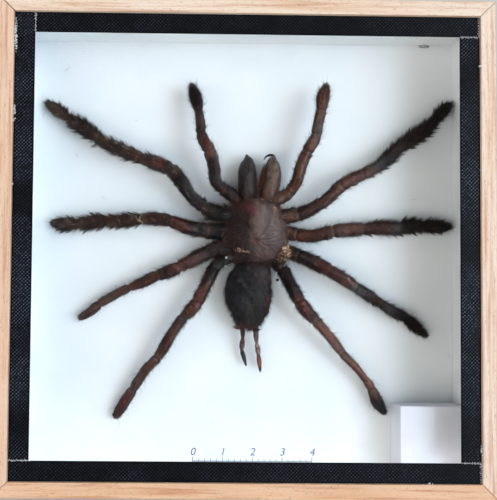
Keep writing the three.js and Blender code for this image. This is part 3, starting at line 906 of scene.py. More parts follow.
# Tufts that stand out of a limb's outline: the place in the panel that each points to.
TUFTS = {
    "leg_left_1": [(-61.5, 127), (-58.8, 125.6), (-56, 122.6), (-53.2, 121.2), (-48.6, 118.6), (-50.5, 111)],
    "leg_left_2": [(-60.5, 82.8), (-57, 89), (-62, 84.2)],
    "leg_right_1": [
        (63.3, 124.6), (60.6, 122.9), (55.2, 118.3), (51.2, 114.6), (62.5, 116.4), (50, 107.8), (46.5, 111),
    ],
    "leg_right_2": [(62, 89.3), (57, 89), (60, 83.6), (53, 82.6)],
}


def limb_relief(loft, joints, seed):
    """Long furrows, fine wrinkles and a crease at each joint."""
    creases = [float(np.interp(j, np.arange(len(loft.station_arcs)), loft.station_arcs)) for j in joints]

    def relief(arc, angle, base):
        place = np.stack((arc / 5, 1.2 * np.cos(angle), 1.2 * np.sin(angle)), -1)
        furrows = layered(place * (1, 1.6, 1.6), seed, 2)
        wrinkles = noise3(place * (9, 2.6, 2.6), seed + 5)
        crease = sum(bell(arc, c, 0.38) for c in creases)
        lip = sum(bell(arc, c - 0.9, 0.55) for c in creases)
        sunken = bell(angle, 1.75 + 0.25 * noise3(place * (0.7, 0, 0), seed + 9), 0.32)
        return 0.46 * furrows + 0.14 * wrinkles - 0.3 * crease + 0.10 * lip - 0.2 * sunken

    return relief, creases


def skin_finish(name, stops, gloss=(0.30, 0.50), streaks=rgb(122, 60, 42)):
    """Dried limb skin: streaks run along the limb, its joints are dark with a pale rim, shade is painted dark
    on its sides and underside and a few pale highlights are painted on its top.
    """
    finish = Finish(f"skin_{name}", {"IOR": 1.5})
    skin, flank = finish.attribute("skin", "Vector"), finish.attribute("flank")
    base = finish.ramp(finish.attribute("share"), stops)
    streak = finish.noise(finish.stretched(skin, (0.3, 1.6, 1.6)), 1, 4, 0.65)
    mottle = finish.noise(skin, 0.9, 5, 0.65)
    brightness = finish.add("RGBToBW", {"Color": base}).outputs["Val"]
    lively = finish.spread(brightness, 0.006, 0.018, 0.12, 1)  # black stretches stay plain
    streaked = finish.math("MULTIPLY", finish.spread(streak, 0.48, 0.66, 0, 0.6), lively)
    toned = finish.mix(streaked, base, streaks)
    toned = finish.stain(toned, rgb(16, 11, 11), mottle, 0.47, 0.38, 0.9)
    # Painted shade: the limb's sides and underside darkened, broken up a little by the streaks.
    edge = finish.math("ADD", flank, finish.spread(streak, 0.35, 0.65, 0.3, -0.3))
    toned = finish.stain(toned, rgb(20, 16, 18), edge, 0.5, 0.9, 0.9)
    # Painted highlights: pale pink spots on the limb's top, kept off its black stretches.
    highlight_spots = finish.noise(finish.stretched(skin, (0.5, 1.1, 1.1), (7, 3, 1)), 1, 3)
    painted_spot_highlight = finish.math("MULTIPLY", finish.spread(highlight_spots, 0.62, 0.72, 0, 0.6), lively)
    painted_spot_highlight = finish.math("MULTIPLY", painted_spot_highlight, finish.spread(flank, 0.8, 0.4))
    toned = finish.mix(painted_spot_highlight, toned, rgb(184, 112, 94))
    toned = finish.mix(finish.math("MULTIPLY", finish.attribute("rim"), lively), toned, rgb(132, 98, 74))
    toned = finish.mix(finish.attribute("crease"), toned, rgb(22, 13, 11))
    finish.drive("Base Color", toned)
    finish.drive("Roughness", finish.spread(mottle, 0.3, 0.7, *gloss))
    grain = finish.noise(finish.stretched(skin, (1.2, 4, 4)), 1, 3)
    finish.bump(finish.math("ADD", finish.math("MULTIPLY", streak, 0.8), grain), 0.2)
    return finish.material


def hair_finish(name, stops, shade=0.75, frost=0.0):
    """Hairs take the limb's colour, most of them darker by shade and some of them paler by frost; those on
    the limb's sides and underside also get painted shade.
    """
    finish = Finish(f"hair_{name}", {"IOR": 1.5, "Roughness": 0.42})
    tone = finish.attribute("tone")
    base = finish.ramp(finish.attribute("share"), stops)
    toned = finish.mix(finish.spread(tone, 0.0, 0.6, shade, 0.0), base, INK)
    # Painted shade on hairs at the limb's sides and underside.
    toned = finish.stain(toned, rgb(18, 14, 15), finish.attribute("flank"), 0.55, 0.95, 0.75)
    toned = finish.stain(toned, rgb(128, 96, 76), tone, 0.88, 1.0, 0.5)
    toned = finish.stain(toned, rgb(190, 160, 136), tone, 0.7, 0.8, frost)
    finish.drive("Base Color", finish.stain(toned, rgb(104, 80, 68), finish.attribute("height"), 0, 1, 0.12))
    return finish.material


def comb(loft, bundle, rng, count, length, lift, radius, cover, long=False, face=(-0.9, 4.0), pale=0.0):
    """Hairs over a loft, lying towards its tip. cover weighs the share of the loft that they grow on."""
    share = rng.random(count * 6)
    girth = loft.row(share * loft.length)[:, 3]
    weight = cover(share) * girth
    share = share[rng.random(len(share)) * weight.max() < weight][:count]
    arc = share * loft.length
    angle = rng.uniform(*face, len(share))
    roots, normal, row = loft.place(arc, angle), loft.normal(arc, angle), loft.row(arc)
    tilt = np.radians(lift) * rng.uniform(0.5, 1.5, len(share))[:, None]
    sway = rng.normal(0, 0.22, (len(share), 1))
    along, across = -row[:, 5:8], row[:, 8:11]
    aims = unit(along * np.cos(tilt) + normal * np.sin(tilt) + np.cross(along, normal) * sway)
    lengths = length(share) * rng.uniform(0.6, 1.25, len(share))
    patch = 0.5 + 0.9 * layered(roots / 1.1, 77, 2)
    tone = np.clip(0.4 * rng.random(len(share)) + 0.6 * patch + pale, 0, 1)
    bend = unit(along + 0.3 * normal + 0.25 * rng.normal(0, 1, aims.shape)) - aims * 0.5 if long else None
    # the flank value carries painted shade onto hairs at the limb's sides
    hairs(bundle, roots, aims, lengths, radius, bend, share=share, tone=tone, flank=np.abs(np.cos(angle)))


def tuft(loft, bundle, rng, point, count=26):
    """A clump of long hairs whose tips meet near a place beside the limb."""
    path = loft.columns
    nearest = np.argmin(np.hypot(path[:, 0] - point[0], path[:, 1] - point[1]))
    arc0, row = loft.arcs[nearest], path[nearest]
    away = np.array((point[0] - row[0], point[1] - row[1], 0.0))
    side = 0.0 if away @ row[8:11] > 0 else math.pi
    arc = arc0 + rng.uniform(0.1, 1.7, count)
    angle = side + rng.normal(0, 0.45, count)
    roots = loft.place(arc, angle)
    target = np.array((point[0], point[1], row[2] + 0.3)) + rng.normal(0, 0.22, (count, 3))
    reach = target - roots
    lengths = np.linalg.norm(reach, axis=1) * rng.uniform(0.75, 1.15, count)
    bend = 0.3 * unit(-row[None, 5:8] + rng.normal(0, 0.3, (count, 3)))
    share = np.full(count, arc0 / loft.length)
    tone = 0.4 * rng.random(count)
    # tufts take the full painted shade of a limb's side
    hairs(bundle, roots, unit(reach), lengths, 0.065, bend, share=share, tone=tone, flank=1)


def clumps(loft, bundle, rng, count, height, cover, each=20):
    """Matted points of hair that stand out along both sides of a limb, leaning towards its tip."""
    share = rng.random(count * 6)
    weight = cover(share)
    share = share[rng.random(len(share)) * weight.max() < weight][:count]
    arc = share * loft.length
    angle = rng.choice((0.0, math.pi), len(arc)) + rng.normal(0, 0.45, len(arc))
    tall = height(share) * rng.uniform(0.45, 1.0, len(arc))
    ends = loft.place(np.maximum(arc - 0.8 * tall, 0.1), angle) + loft.normal(arc, angle) * tall[:, None]
    spread_arc = np.repeat(arc, each) + rng.uniform(-0.1, 1.1, len(arc) * each)
    roots = loft.place(spread_arc, np.repeat(angle, each) + rng.normal(0, 0.35, len(spread_arc)))
    reach = np.repeat(ends, each, axis=0) + rng.normal(0, 0.09, roots.shape) - roots
    lengths = np.linalg.norm(reach, axis=1) * rng.uniform(0.75, 1.1, len(roots))
    tone = np.repeat(rng.random(len(arc)), each) * 0.7
    # clumps take the full painted shade of a limb's side
    hairs(bundle, roots, unit(reach), lengths, 0.06, share=np.repeat(share, each), tone=tone, flank=1)


def interpolated(table, column):
    shares = [row[0] for row in table]
    values = [row[column] for row in table]
    return lambda share: np.interp(share, shares, values)


def limb_fur(name, loft, creases, seed, short_count, long_count):
    """A limb's coat: short hairs, long ones, sparse bristles, matted points and tufts."""
    rng = np.random.default_rng(seed)
    coat = COATS[name]
    fur = Bundle()
    cover, longest, spread = (interpolated(coat, column) for column in (1, 2, 3))

    def length(share):
        """Hairs are shorter at the joints."""
        near = sum(bell(share * loft.length, c, 1.0) for c in creases)
        return longest(share) * (1 - 0.55 * np.clip(near, 0, 1))

    def bristle_length(share):
        return 3.3 - 1.2 * share

    def bristle_cover(share):
        return 0.5 + spread(share)

    if coat is SLEEK:
        short_count //= 2
    bristle_count = short_count // 14
    comb(loft, fur, rng, short_count, length, 26, 0.055 if coat is SHAGGY else 0.045, cover)
    comb(loft, fur, rng, long_count, lambda s: 1.7 * length(s), 55, 0.05, spread, True)
    comb(loft, fur, rng, bristle_count, bristle_length, 62, 0.042, bristle_cover, True, (-0.5, 3.6))
    if coat in (SHAGGY, USUAL):
        points = 90 if coat is SHAGGY else 50
        clumps(loft, fur, rng, points, lambda s: 1.6 * length(s), lambda s: spread(s) ** 2)
    for point in TUFTS.get(name, ()):
        tuft(loft, fur, rng, point)
    return fur


def make_limb(name, stations, seed, hair_counts):
    before, last = np.array(stations[-2:])
    inward = (last - before)[:2] / math.dist(last[:2], before[:2])
    loft = Loft([*stations, [*(last[:2] + ROOT * inward), *last[2:]]])
    loft.relief, creases = limb_relief(loft, JOINTS.get(name, LEG_JOINTS), seed)
    rims = [c + 0.55 for c in creases[1:]]
    marks = {"crease": bands(creases, 0.22, 0.9), "rim": bands(rims, 0.3, 0.4)}
    skin = loft.add_to(Bundle(), LIMB_STEP, LIMB_SIDES, **marks)
    skin.piece(f"{name}_skin", skin_finish(name, SKIN[name]), "limb", name)
    fur = limb_fur(name, loft, creases, seed, *hair_counts)
    shade = 0.5 if COATS[name] is SLEEK else 0.75
    fur.piece(f"{name}_hair", hair_finish(name, SKIN[name], shade, FROST.get(name, 0)), "hair")


def make_limbs():
    for number, (name, stations) in enumerate(LIMBS.items()):
        hair_counts = (6000, 1700) if name.startswith("leg") else (3400, 800)
        make_limb(name, stations, 40 + 7 * number, hair_counts)


# The shield of the back, with the lower half of the body under its rim.
FOVEA = (3.6, 80.6)
EYES = (3.7, 92.6)


def shield_section(cosine, sine):
    upper = np.maximum(1 - np.abs(cosine) ** 2.2, 0) ** 0.6
    lower = -0.78 * np.maximum(1 - np.abs(cosine) ** 2.2, 0) ** 0.7
    return cosine, np.where(sine >= 0, upper, lower)


def shield_relief(arc, angle, base):
    x, y = base[..., 0] - FOVEA[0], base[..., 1] - FOVEA[1]
    far = np.hypot(x, y)
    bearing = np.degrees(np.arctan2(x, y))
    top = np.clip(np.sin(angle), 0, 1) ** 0.5
    bearing = bearing + 9 * noise3(base / 2.2, 14)
    minor = sum(bell(bearing, b, 90 / (6 + 4 * far)) for b in (-150, -112, -76, 64, 88, 116, 146))
    grooves = 0.35 * minor + 0.6 * sum(bell(bearing, b, 150 / (6 + 3 * far)) for b in (-36, 34))
    grooves = grooves * np.clip((far - 1.2) / 1.5, 0, 1) * np.clip((9.5 - far) / 3, 0, 1)
    pit = bell(x, 0, 1.0) * bell(y + 0.12 * x * x, 0, 0.42)
    head = bell(x, 0, 3.6) * np.clip((y - 1.5) / 5, 0, 1) * np.clip((14.6 - y) / 1.6, 0, 1)
    eyes = bell(base[..., 0], EYES[0], 1.5) * bell(base[..., 1], EYES[1], 0.95)
    rim = bell(np.abs(np.cos(angle)), 0.965, 0.03)
    fold = layered(base / 2.6, 11) * 0.14 + layered(base / 0.7, 12, 2) * 0.05
    rays = noise3(np.stack((bearing / 5, far / 9, 0 * far), -1), 13) * np.clip(far / 4, 0, 1)
    return top * (-0.38 * grooves - 0.6 * pit + 0.7 * head + 0.75 * eyes + 0.22 * rim + 0.11 * rays) + fold


def carapace_finish():
    """Brown felted shield: rays round the pit, a mauve highlight painted along the ridge, shade painted over
    the left side, reddish over the head and the pit.
    """
    sheen = {"Sheen Weight": 0.1, "Sheen Roughness": 0.35, "Sheen Tint": rgb(205, 190, 200)}
    finish = Finish("carapace_felt", {"IOR": 1.45, **sheen})
    ray = finish.attribute("ray", "Vector")
    streak = finish.noise(finish.stretched(ray, (1.4, 0.22, 1)), 1, 4, 0.6)
    mottle = finish.grit(0.5, 5, 0.65)
    base = finish.ramp(mottle, [(0.3, rgb(40, 23, 20)), (0.5, rgb(72, 47, 41)), (0.7, rgb(100, 72, 65))])
    toned = finish.stain(base, rgb(114, 88, 82), streak, 0.45, 0.7, 0.5)
    toned = finish.stain(toned, rgb(36, 22, 20), streak, 0.45, 0.3, 0.6)
    # painted shade over the shield's left side
    toned = finish.mix(finish.attribute("dusk"), toned, rgb(18, 11, 11))
    # painted mauve highlight along the ridge
    toned = finish.mix(finish.attribute("bloom"), toned, rgb(134, 108, 102))
    toned = finish.mix(finish.attribute("blush"), toned, rgb(104, 28, 28))
    toned = finish.mix(finish.attribute("rim"), toned, rgb(150, 112, 88))
    finish.drive("Base Color", toned)
    finish.drive("Roughness", finish.spread(mottle, 0.3, 0.7, 0.42, 0.6))
    finish.bump(finish.math("ADD", streak, mottle), 0.12)
    return finish.material


def fur_finish(name, dark, light, tip):
    finish = Finish(f"fur_{name}", {"IOR": 1.5, "Roughness": 0.45})
    tone = finish.attribute("tone")
    base = finish.ramp(tone, [(0.1, dark), (0.6, light), (1.0, tip)])
    finish.drive("Base Color", finish.stain(base, tip, finish.attribute("height"), 0, 1, 0.3))
    return finish.material


def carapace_marks(loft):
    """The shield's rays, red blushes, pale rim, the shade painted on its left side and the highlight painted
    along its ridge.
    """

    def ray(points, arcs):
        x, y = points[:, 0] - FOVEA[0], points[:, 1] - FOVEA[1]
        return np.column_stack((6 * np.arctan2(x, y), np.hypot(x, y), points[:, 2]))

    def blush(points, arcs):
        x, y = points[:, 0], points[:, 1]
        marks = 0.8 * bell(x, 2.7, 1.3) * bell(y, 90.2, 1.2) + 0.4 * bell(x, 3.6, 1.2) * bell(y, 80.4, 0.8)
        return np.clip(marks + 0.4 * bell(x, 0.5, 2.5) * bell(y, 92, 1.5), 0, 1)

    def rim(points, arcs):
        row = loft.row(arcs)
        return bell(np.abs(points[:, 0] - row[:, 0]) / np.maximum(row[:, 3], 0.1), 0.985, 0.018) * 0.8

    # Painted shade: the left side of the shield darkened, with a ragged edge.
    def dusk(points, arcs):
        ragged = 1.2 * noise3(points / 1.6, 15)
        return 0.85 * np.clip((3.4 + ragged - points[:, 0] - 0.12 * (points[:, 1] - 84)) / 2.6, 0, 1)

    # Painted highlight: a pale mottled streak along the ridge right of the shield's middle.
    def bloom(points, arcs):
        ridge = bell(points[:, 0], 5.6 + 0.1 * (84 - points[:, 1]), 1.0) * bell(points[:, 1], 86, 3.8)
        return 0.7 * np.clip(ridge * (0.8 + 0.6 * noise3(points / 0.7, 16)), 0, 1)

    return {"ray": ray, "blush": blush, "rim": rim, "dusk": dusk, "bloom": bloom}


def carapace_fur(loft):
    rng = np.random.default_rng(3)
    fur = Bundle()
    # a short nap that lies outwards from the pit
    count = 9000
    arc, angle = rng.uniform(0.2, loft.length - 0.2, count), rng.uniform(-0.12, math.pi + 0.12, count)
    roots, normal = loft.place(arc, angle), loft.normal(arc, angle)
    out = unit(np.column_stack((roots[:, 0] - FOVEA[0], roots[:, 1] - FOVEA[1] - 2, np.zeros(count))))
    aims = unit(out + normal * rng.uniform(0.1, 0.5, (count, 1)) + rng.normal(0, 0.25, (count, 3)))
    hairs(fur, roots, aims, rng.uniform(0.4, 0.9, count), 0.03, tone=rng.random(count))
    # the fringe that stands out round the rim
    count = 1500
    arc = rng.uniform(0.4, loft.length - 0.3, count)
    angle = np.where(rng.random(count) < 0.5, 0.0, math.pi) + rng.normal(0, 0.12, count)
    aims = unit(loft.normal(arc, angle) + rng.normal(0, 0.35, (count, 3)) + (0, 0.25, 0.1))
    lengths, bend = rng.uniform(0.6, 1.5, count), 0.4 * rng.normal(0, 1, (count, 3))
    hairs(fur, loft.place(arc, angle), aims, lengths, 0.03, bend, tone=rng.random(count))
    # brown fur over the waist
    count = 700
    arc, angle = loft.length - rng.uniform(0.1, 2.2, count), rng.uniform(0.1, math.pi - 0.1, count)
    aims = unit((0, -1.0, 0) + 0.5 * loft.normal(arc, angle) + rng.normal(0, 0.35, (count, 3)))
    lengths, bend = rng.uniform(0.8, 2.0, count), 0.4 * rng.normal(0, 1, (count, 3))
    hairs(fur, loft.place(arc, angle), aims, lengths, 0.045, bend, tone=0.6 * rng.random(count))
    return fur


# The eight eyes: places right of the cluster's middle and in front of it, and radii.
EYE_CLUSTER = [
    (-0.75, 0.45, 0.26), (0.75, 0.45, 0.26), (-0.35, 0.0, 0.3), (0.35, 0.0, 0.3),
    (-1.15, 0.1, 0.22), (1.15, 0.1, 0.22), (-1.0, -0.4, 0.18), (1.0, -0.4, 0.18),
]


def make_eyes(shield):
    eyes = Bundle()
    for number, (dx, dy, radius) in enumerate(EYE_CLUSTER):
        x, y = EYES[0] + dx, EYES[1] + 0.3 + dy
        arc = np.interp(-y, -shield.columns[:, 1], shield.arcs)
        row = shield.row(arc)
        angle = math.acos((x - row[0]) / row[3])
        lump(eyes, shield.place(np.array(arc), np.array(angle)), (radius,) * 3, number, 0.05)
    lens = Finish("eye_lens", {"IOR": 1.5, "Roughness": 0.12})
    lens.colour_by(lens.grit(2, 2), [(0.3, rgb(60, 34, 26)), (0.7, rgb(150, 110, 84))])
    eyes.piece("eyes", lens.material, "fang")


def make_cephalothorax():
    loft = Loft(CEPHALOTHORAX, shield_section, shield_relief, cap=0.35)
    skin = loft.add_to(Bundle(), 0.2, 132, **carapace_marks(loft))
    skin.piece("carapace_and_sternum", carapace_finish(), "carapace", "cephalothorax")
    finish = fur_finish("carapace", rgb(38, 24, 22), rgb(78, 52, 46), rgb(128, 98, 88))
    carapace_fur(loft).piece("carapace_hair", finish, "hair")
    make_eyes(loft)


def abdomen_relief(arc, angle, base):
    folds = layered(base / (2.9, 3.8, 2.9), 21)
    ribs = layered(base / (1.1, 1.5, 1.1), 22, 2)
    hollow = bell(angle, math.pi / 2 + 0.1, 0.55) * bell(base[..., 1], 62, 6)
    return 0.75 * folds + 0.34 * ribs - 0.55 * hollow


def blotch(points):
    return np.clip(0.7 + 0.9 * layered(points / 1.4, 23), 0, 1)


def brown_mark(points, arcs=None):
    """Over the right shoulder and along the waist."""
    shoulder = 0.9 * bell(points[:, 0], 6.4, 2.9) * bell(points[:, 1], 69.5, 4.2)
    return np.clip(shoulder + 0.7 * bell(points[:, 1], 74, 1.6), 0, 1) * blotch(points)


def olive_mark(points, arcs=None):
    """Down the middle of the lower half."""
    return 0.85 * bell(points[:, 0], 2.8, 2.6) * bell(points[:, 1], 58, 4.4) * blotch(points)


def red_mark(points, arcs=None):
    """Round the end and up the lower right edge."""
    end = 0.9 * bell(points[:, 1], 52.0, 1.2) * blotch(points)
    side = bell(points[:, 0], 8.2, 1.6) * bell(points[:, 1], 59, 3)
    return np.clip(end + 0.7 * side * blotch(points), 0, 1)


ABDOMEN_MARKS = {"brown": brown_mark, "olive": olive_mark, "red": red_mark}


def marked(finish, base):
    """The abdomen's patches of colour over a base."""
    toned = finish.mix(finish.attribute("brown"), base, rgb(72, 48, 44))
    toned = finish.mix(finish.attribute("olive"), toned, rgb(60, 56, 44))
    return finish.mix(finish.attribute("red"), toned, rgb(98, 44, 34))


def abdomen_finish():
    finish = Finish("abdomen_skin", {"IOR": 1.45, "Sheen Weight": 0.05, "Sheen Tint": rgb(150, 160, 190)})
    mottle = finish.grit((0.55, 0.55, 0.4), 6, 0.65)
    base = finish.ramp(mottle, [(0.34, rgb(8, 7, 9)), (0.5, rgb(22, 21, 25)), (0.66, rgb(50, 43, 43))])
    finish.drive("Base Color", marked(finish, base))
    finish.drive("Roughness", finish.spread(mottle, 0.3, 0.7, 0.45, 0.7))
    finish.bump(finish.grit((1.6, 1.6, 1.3), 5, 0.65), 0.3)
    return finish.material


def abdomen_fur_finish():
    finish = Finish("fur_abdomen", {"IOR": 1.5, "Roughness": 0.45})
    stops = [(0.1, rgb(10, 8, 10)), (0.7, rgb(28, 25, 27)), (1.0, rgb(88, 76, 72))]
    base = finish.ramp(finish.attribute("tone"), stops)
    finish.drive("Base Color", marked(finish, base))
    return finish.material


# Tips of the clumps that stick out of the abdomen's outline.
CLUMP_TIPS = [
    (-5.9, 64.4), (-5.6, 65.6), (-3.4, 52.4), (-2.6, 51.9), (6.4, 51.4), (5.4, 51.2), (10.2, 64.2),
    (10.3, 62.6), (10.0, 60.6), (9.0, 57.6), (-4.5, 56.0), (-6.0, 60.4), (9.9, 66.6), (1.5, 50.8),
]
CLUMP_HAIRS = 26


def abdomen_fur(loft):
    """Two lengths of hair that swirl over the skin, and clumps along its outline."""
    rng = np.random.default_rng(9)
    fur = Bundle()

    def grow(roots, aims, lengths, radius, bend, tone):
        marks = {name: 0.9 * rule(roots) for name, rule in ABDOMEN_MARKS.items()}
        hairs(fur, roots, aims, lengths, radius, bend, tone=tone, **marks)

    def scatter(spread, count):
        return rng.normal(0, spread, (count, 3))

    for count, length, lift, radius, long in ((9000, 0.7, 0.6, 0.035, False), (2600, 1.6, 1.1, 0.032, True)):
        arc, angle = rng.uniform(0.3, loft.length - 0.3, count), rng.uniform(-0.7, math.pi + 0.7, count)
        roots, normal, back = loft.place(arc, angle), loft.normal(arc, angle), loft.row(arc)[:, 5:8]
        swirl = np.column_stack([layered(roots / 1.8, 24 + k, 2) for k in range(3)])
        raised = normal * rng.uniform(0.3, 1.5, (count, 1)) * lift
        aims = unit(back + raised + 1.5 * swirl + scatter(0.3, count))
        bend = 0.8 * unit(back + scatter(0.3, count)) if long else None
        grow(roots, aims, length * rng.uniform(0.6, 1.3, count), radius, bend, rng.random(count))
    for x, y in CLUMP_TIPS:
        middle = np.array((x, y, BACKING_FRONT + 4.6))
        spine = loft.row(np.interp(-y, -loft.columns[:, 1], loft.arcs))[:3]
        roots = middle + unit(spine - middle) * 1.9 + scatter(0.35, CLUMP_HAIRS)
        reach = middle + scatter(0.2, CLUMP_HAIRS) - roots
        bend, tone = 0.2 * scatter(1, CLUMP_HAIRS), 0.3 * rng.random(CLUMP_HAIRS)
        grow(roots, unit(reach), np.linalg.norm(reach, axis=1), 0.05, bend, tone)
    return fur


def make_abdomen():
    loft = Loft(ABDOMEN, relief=abdomen_relief, cap=0.45)
    skin = loft.add_to(Bundle(), 0.25, 96, **ABDOMEN_MARKS)
    skin.piece("abdomen_skin", abdomen_finish(), "abdomen", "abdomen")
    abdomen_fur(loft).piece("abdomen_hair", abdomen_fur_finish(), "hair")


def jaw_relief(arc, angle, base):
    place = np.stack((arc / 6, 1.5 * np.cos(angle), 1.5 * np.sin(angle)), -1)
    ridges = np.cos(9 * angle + 1.6 * noise3(place, 31)) * bell(arc, 6.5, 6)
    return 0.05 * ridges + 0.14 * layered(place * 2, 32) + 0.07 * noise3(base / 0.5, 33)


# Each jaw's colours from its tip, its streaks, the angle of its inner margin, and the colour of the fringe
# there, the share of the jaw where that is thickest, its length and its count of hairs.
JAWS = {
    # The left jaw's dark blue-black colours are partly its own and partly painted shade; the right jaw's
    # paler browns are partly painted light.
    "chelicera_left": (
        [
            (0, rgb(34, 38, 44)), (0.3, rgb(44, 40, 38)), (0.6, rgb(40, 34, 32)), (0.8, rgb(58, 44, 36)),
            (1, rgb(74, 48, 38)),
        ],
        rgb(50, 48, 52), 0.0, rgb(92, 46, 34), 0.85, 1.2, 500,
    ),
    "chelicera_right": (
        [
            (0, rgb(92, 80, 72)), (0.3, rgb(106, 90, 76)), (0.6, rgb(98, 72, 56)), (0.8, rgb(112, 66, 46)),
            (1, rgb(86, 50, 40)),
        ],
        rgb(124, 94, 72), math.pi, rgb(112, 64, 50), 0.6, 1.5, 1300,
    ),
}


def steady(value):
    """The same length or cover all along."""
    return lambda share: value + 0 * share


def make_jaw(name, colours, streaks, inward, fringe, thickest, reach, count, seed):
    loft = Loft(CHELICERAE[name], relief=jaw_relief, cap=0.5)
    shell = loft.add_to(Bundle(), 0.16, 56, crease=bands((), 1, 0), rim=bands((), 1, 0))
    shell.piece(f"{name}_shell", skin_finish(name, colours, (0.32, 0.5), streaks), "jaw", name)
    rng = np.random.default_rng(seed)
    fur = Bundle()
    margin = (inward - 0.5, inward + 0.6)
    comb(loft, fur, rng, 2600, lambda s: 0.35 + 0.4 * s, 18, 0.032, lambda s: 0.1 + s)
    comb(loft, fur, rng, 420, lambda s: 0.5 + 1.2 * s, 40, 0.03, lambda s: 0.05 + s, True)

    def fringe_cover(share):
        return bell(share, thickest, 0.24)

    comb(loft, fur, rng, count, steady(reach), 55, 0.045, fringe_cover, True, margin, 0.35)
    light = colours[1][1]
    fur.piece(f"{name}_hair", fur_finish(name, INK, light, fringe), "hair")


def make_jaws():
    for number, (name, look) in enumerate(JAWS.items()):
        make_jaw(name, *look, 60 + number)


def make_fangs():
    horn = Finish("fang_horn", {"IOR": 1.55, "Coat Weight": 0.4, "Coat Roughness": 0.12})
    stops = [(0, rgb(70, 78, 86)), (0.3, rgb(36, 36, 42)), (1, rgb(14, 12, 14))]
    horn.colour_by(horn.attribute("share"), stops)
    wear = horn.noise(horn.attribute("skin", "Vector"), 3, 2)
    horn.drive("Roughness", horn.spread(wear, 0.3, 0.7, 0.2, 0.34))
    for name, stations in FANGS.items():
        loft = Loft(stations, relief=lambda arc, angle, base: 0.03 * np.cos(5 * angle), cap=0.5)
        loft.add_to(Bundle(), 0.12, 24).piece(f"{name}_horn", horn.material, "fang", name)


def make_spinnerets():
    for seed, (name, stations) in enumerate(SPINNERETS.items(), 80):
        loft = Loft(stations)
        plain, creases = limb_relief(loft, (2, 4), seed)
        loft.relief = lambda arc, angle, base: 0.45 * plain(arc, angle, base)
        rims = [c + 0.35 for c in creases]
        marks = {"crease": bands(creases, 0.16, 0.8), "rim": bands(rims, 0.25, 0.5)}
        skin = loft.add_to(Bundle(), 0.2, 20, **marks)
        skin.piece(f"{name}_skin", skin_finish(name, SKIN[name]), "limb", name)
        fur = Bundle()
        comb(loft, fur, np.random.default_rng(seed), 900, steady(0.45), 22, 0.025, steady(1))
        fur.piece(f"{name}_hair", hair_finish(name, SKIN[name]), "hair")


# ---------------------------------------------------------------------------------------------
# Small things: the printed scale, glue, dust and frayed ends
# ---------------------------------------------------------------------------------------------

SCALE_LEFT, SCALE_FOOT, SCALE_STEP, SCALE_STEPS = -16.0, 7.2, 10, 4


def block(bundle, low, high, **attributes):
    corners = np.array(list(itertools.product(*zip(low, high))))
    quads = np.array([(0, 1, 3, 2), (4, 6, 7, 5), (0, 4, 5, 1), (2, 3, 7, 6), (0, 2, 6, 4), (1, 5, 7, 3)])
    bundle.add(corners, [quads], **attributes)


def digit(bundle, text, x, y, height):
    """A printed digit centred on x with its foot at y."""
    curve = bpy.data.curves.new("digit", "FONT")
    curve.body, curve.size, curve.align_x, curve.shear = text, height / 0.7, "CENTER", 0.2
    curve.extrude = 0.01
    maker = bpy.data.objects.new("digit", curve)
    bpy.context.scene.collection.objects.link(maker)
    bpy.context.view_layer.update()
    mesh = bpy.data.meshes.new_from_object(maker.evaluated_get(bpy.context.evaluated_depsgraph_get()))
    points = np.array([v.co for v in mesh.vertices]) + (x, y, BACKING_FRONT + 0.02)
    polygons = [tuple(f.vertices) for f in mesh.polygons]
    sizes = sorted({len(corners) for corners in polygons})
    bundle.add(points, [np.array([c for c in polygons if len(c) == size]) for size in sizes])
    bpy.data.objects.remove(maker)


def make_scale():
    """A plain scale of centimetres, printed in blue-grey at the foot of the backing."""
    printed = Bundle()
    low, high = BACKING_FRONT + 0.005, BACKING_FRONT + 0.03
    right = SCALE_LEFT + SCALE_STEP * SCALE_STEPS
    over_line = SCALE_FOOT + 0.22
    block(printed, (SCALE_LEFT - 0.1, SCALE_FOOT, low), (right + 0.1, over_line, high))
    for k in range(SCALE_STEP * SCALE_STEPS // 2 + 1):
        x = SCALE_LEFT + 2 * k
        tall = 1.5 if k % 5 == 0 else 0.8
        block(printed, (x - 0.1, over_line, low), (x + 0.1, SCALE_FOOT + tall, high))
    for k in range(SCALE_STEPS + 1):
        digit(printed, str(k), SCALE_LEFT + SCALE_STEP * k, SCALE_FOOT + 2.1, 2.5)
    ink = Finish("scale_ink", {"Roughness": 0.6})
    ink.colour_by(ink.grit(2.5), [(0.35, rgb(58, 76, 124)), (0.7, rgb(92, 108, 150))])
    printed.piece("printed_scale", ink.material, "ink")


def speck_finish(name, dark, light, roughness):
    finish = Finish(name, {"Roughness": roughness, "IOR": 1.45})
    finish.colour_by(finish.grit(1.5, 4), [(0.35, dark), (0.65, light)])
    finish.bump(finish.grit(4), 0.05)
    return finish.material


# Fibres on the backing: x, y, length and direction in degrees.
FIBRES = [
    (-59.6, 139.4, 2.2, 40), (-46.8, 95.6, 1.6, -30), (-34.3, 71.9, 1.2, 60), (58.4, 96.0, 1.4, 4),
    (58.0, 90.2, 0.8, 20), (70.2, 43.4, 1.6, 80), (-48.1, 16.3, 0.7, 30), (20.0, 31.9, 1.0, 50),
    (-67.2, 124.0, 3.0, 70), (-36, 122, 1.5, 20), (-56, 110, 1.1, -60), (44, 70, 0.9, 15),
    (-10, 20, 1.0, -10),
]
STRAY_FIBRES = 46
STRAY_RANGES = ((-64, 64), (10, 145), (0.3, 0.9), (0, 180))


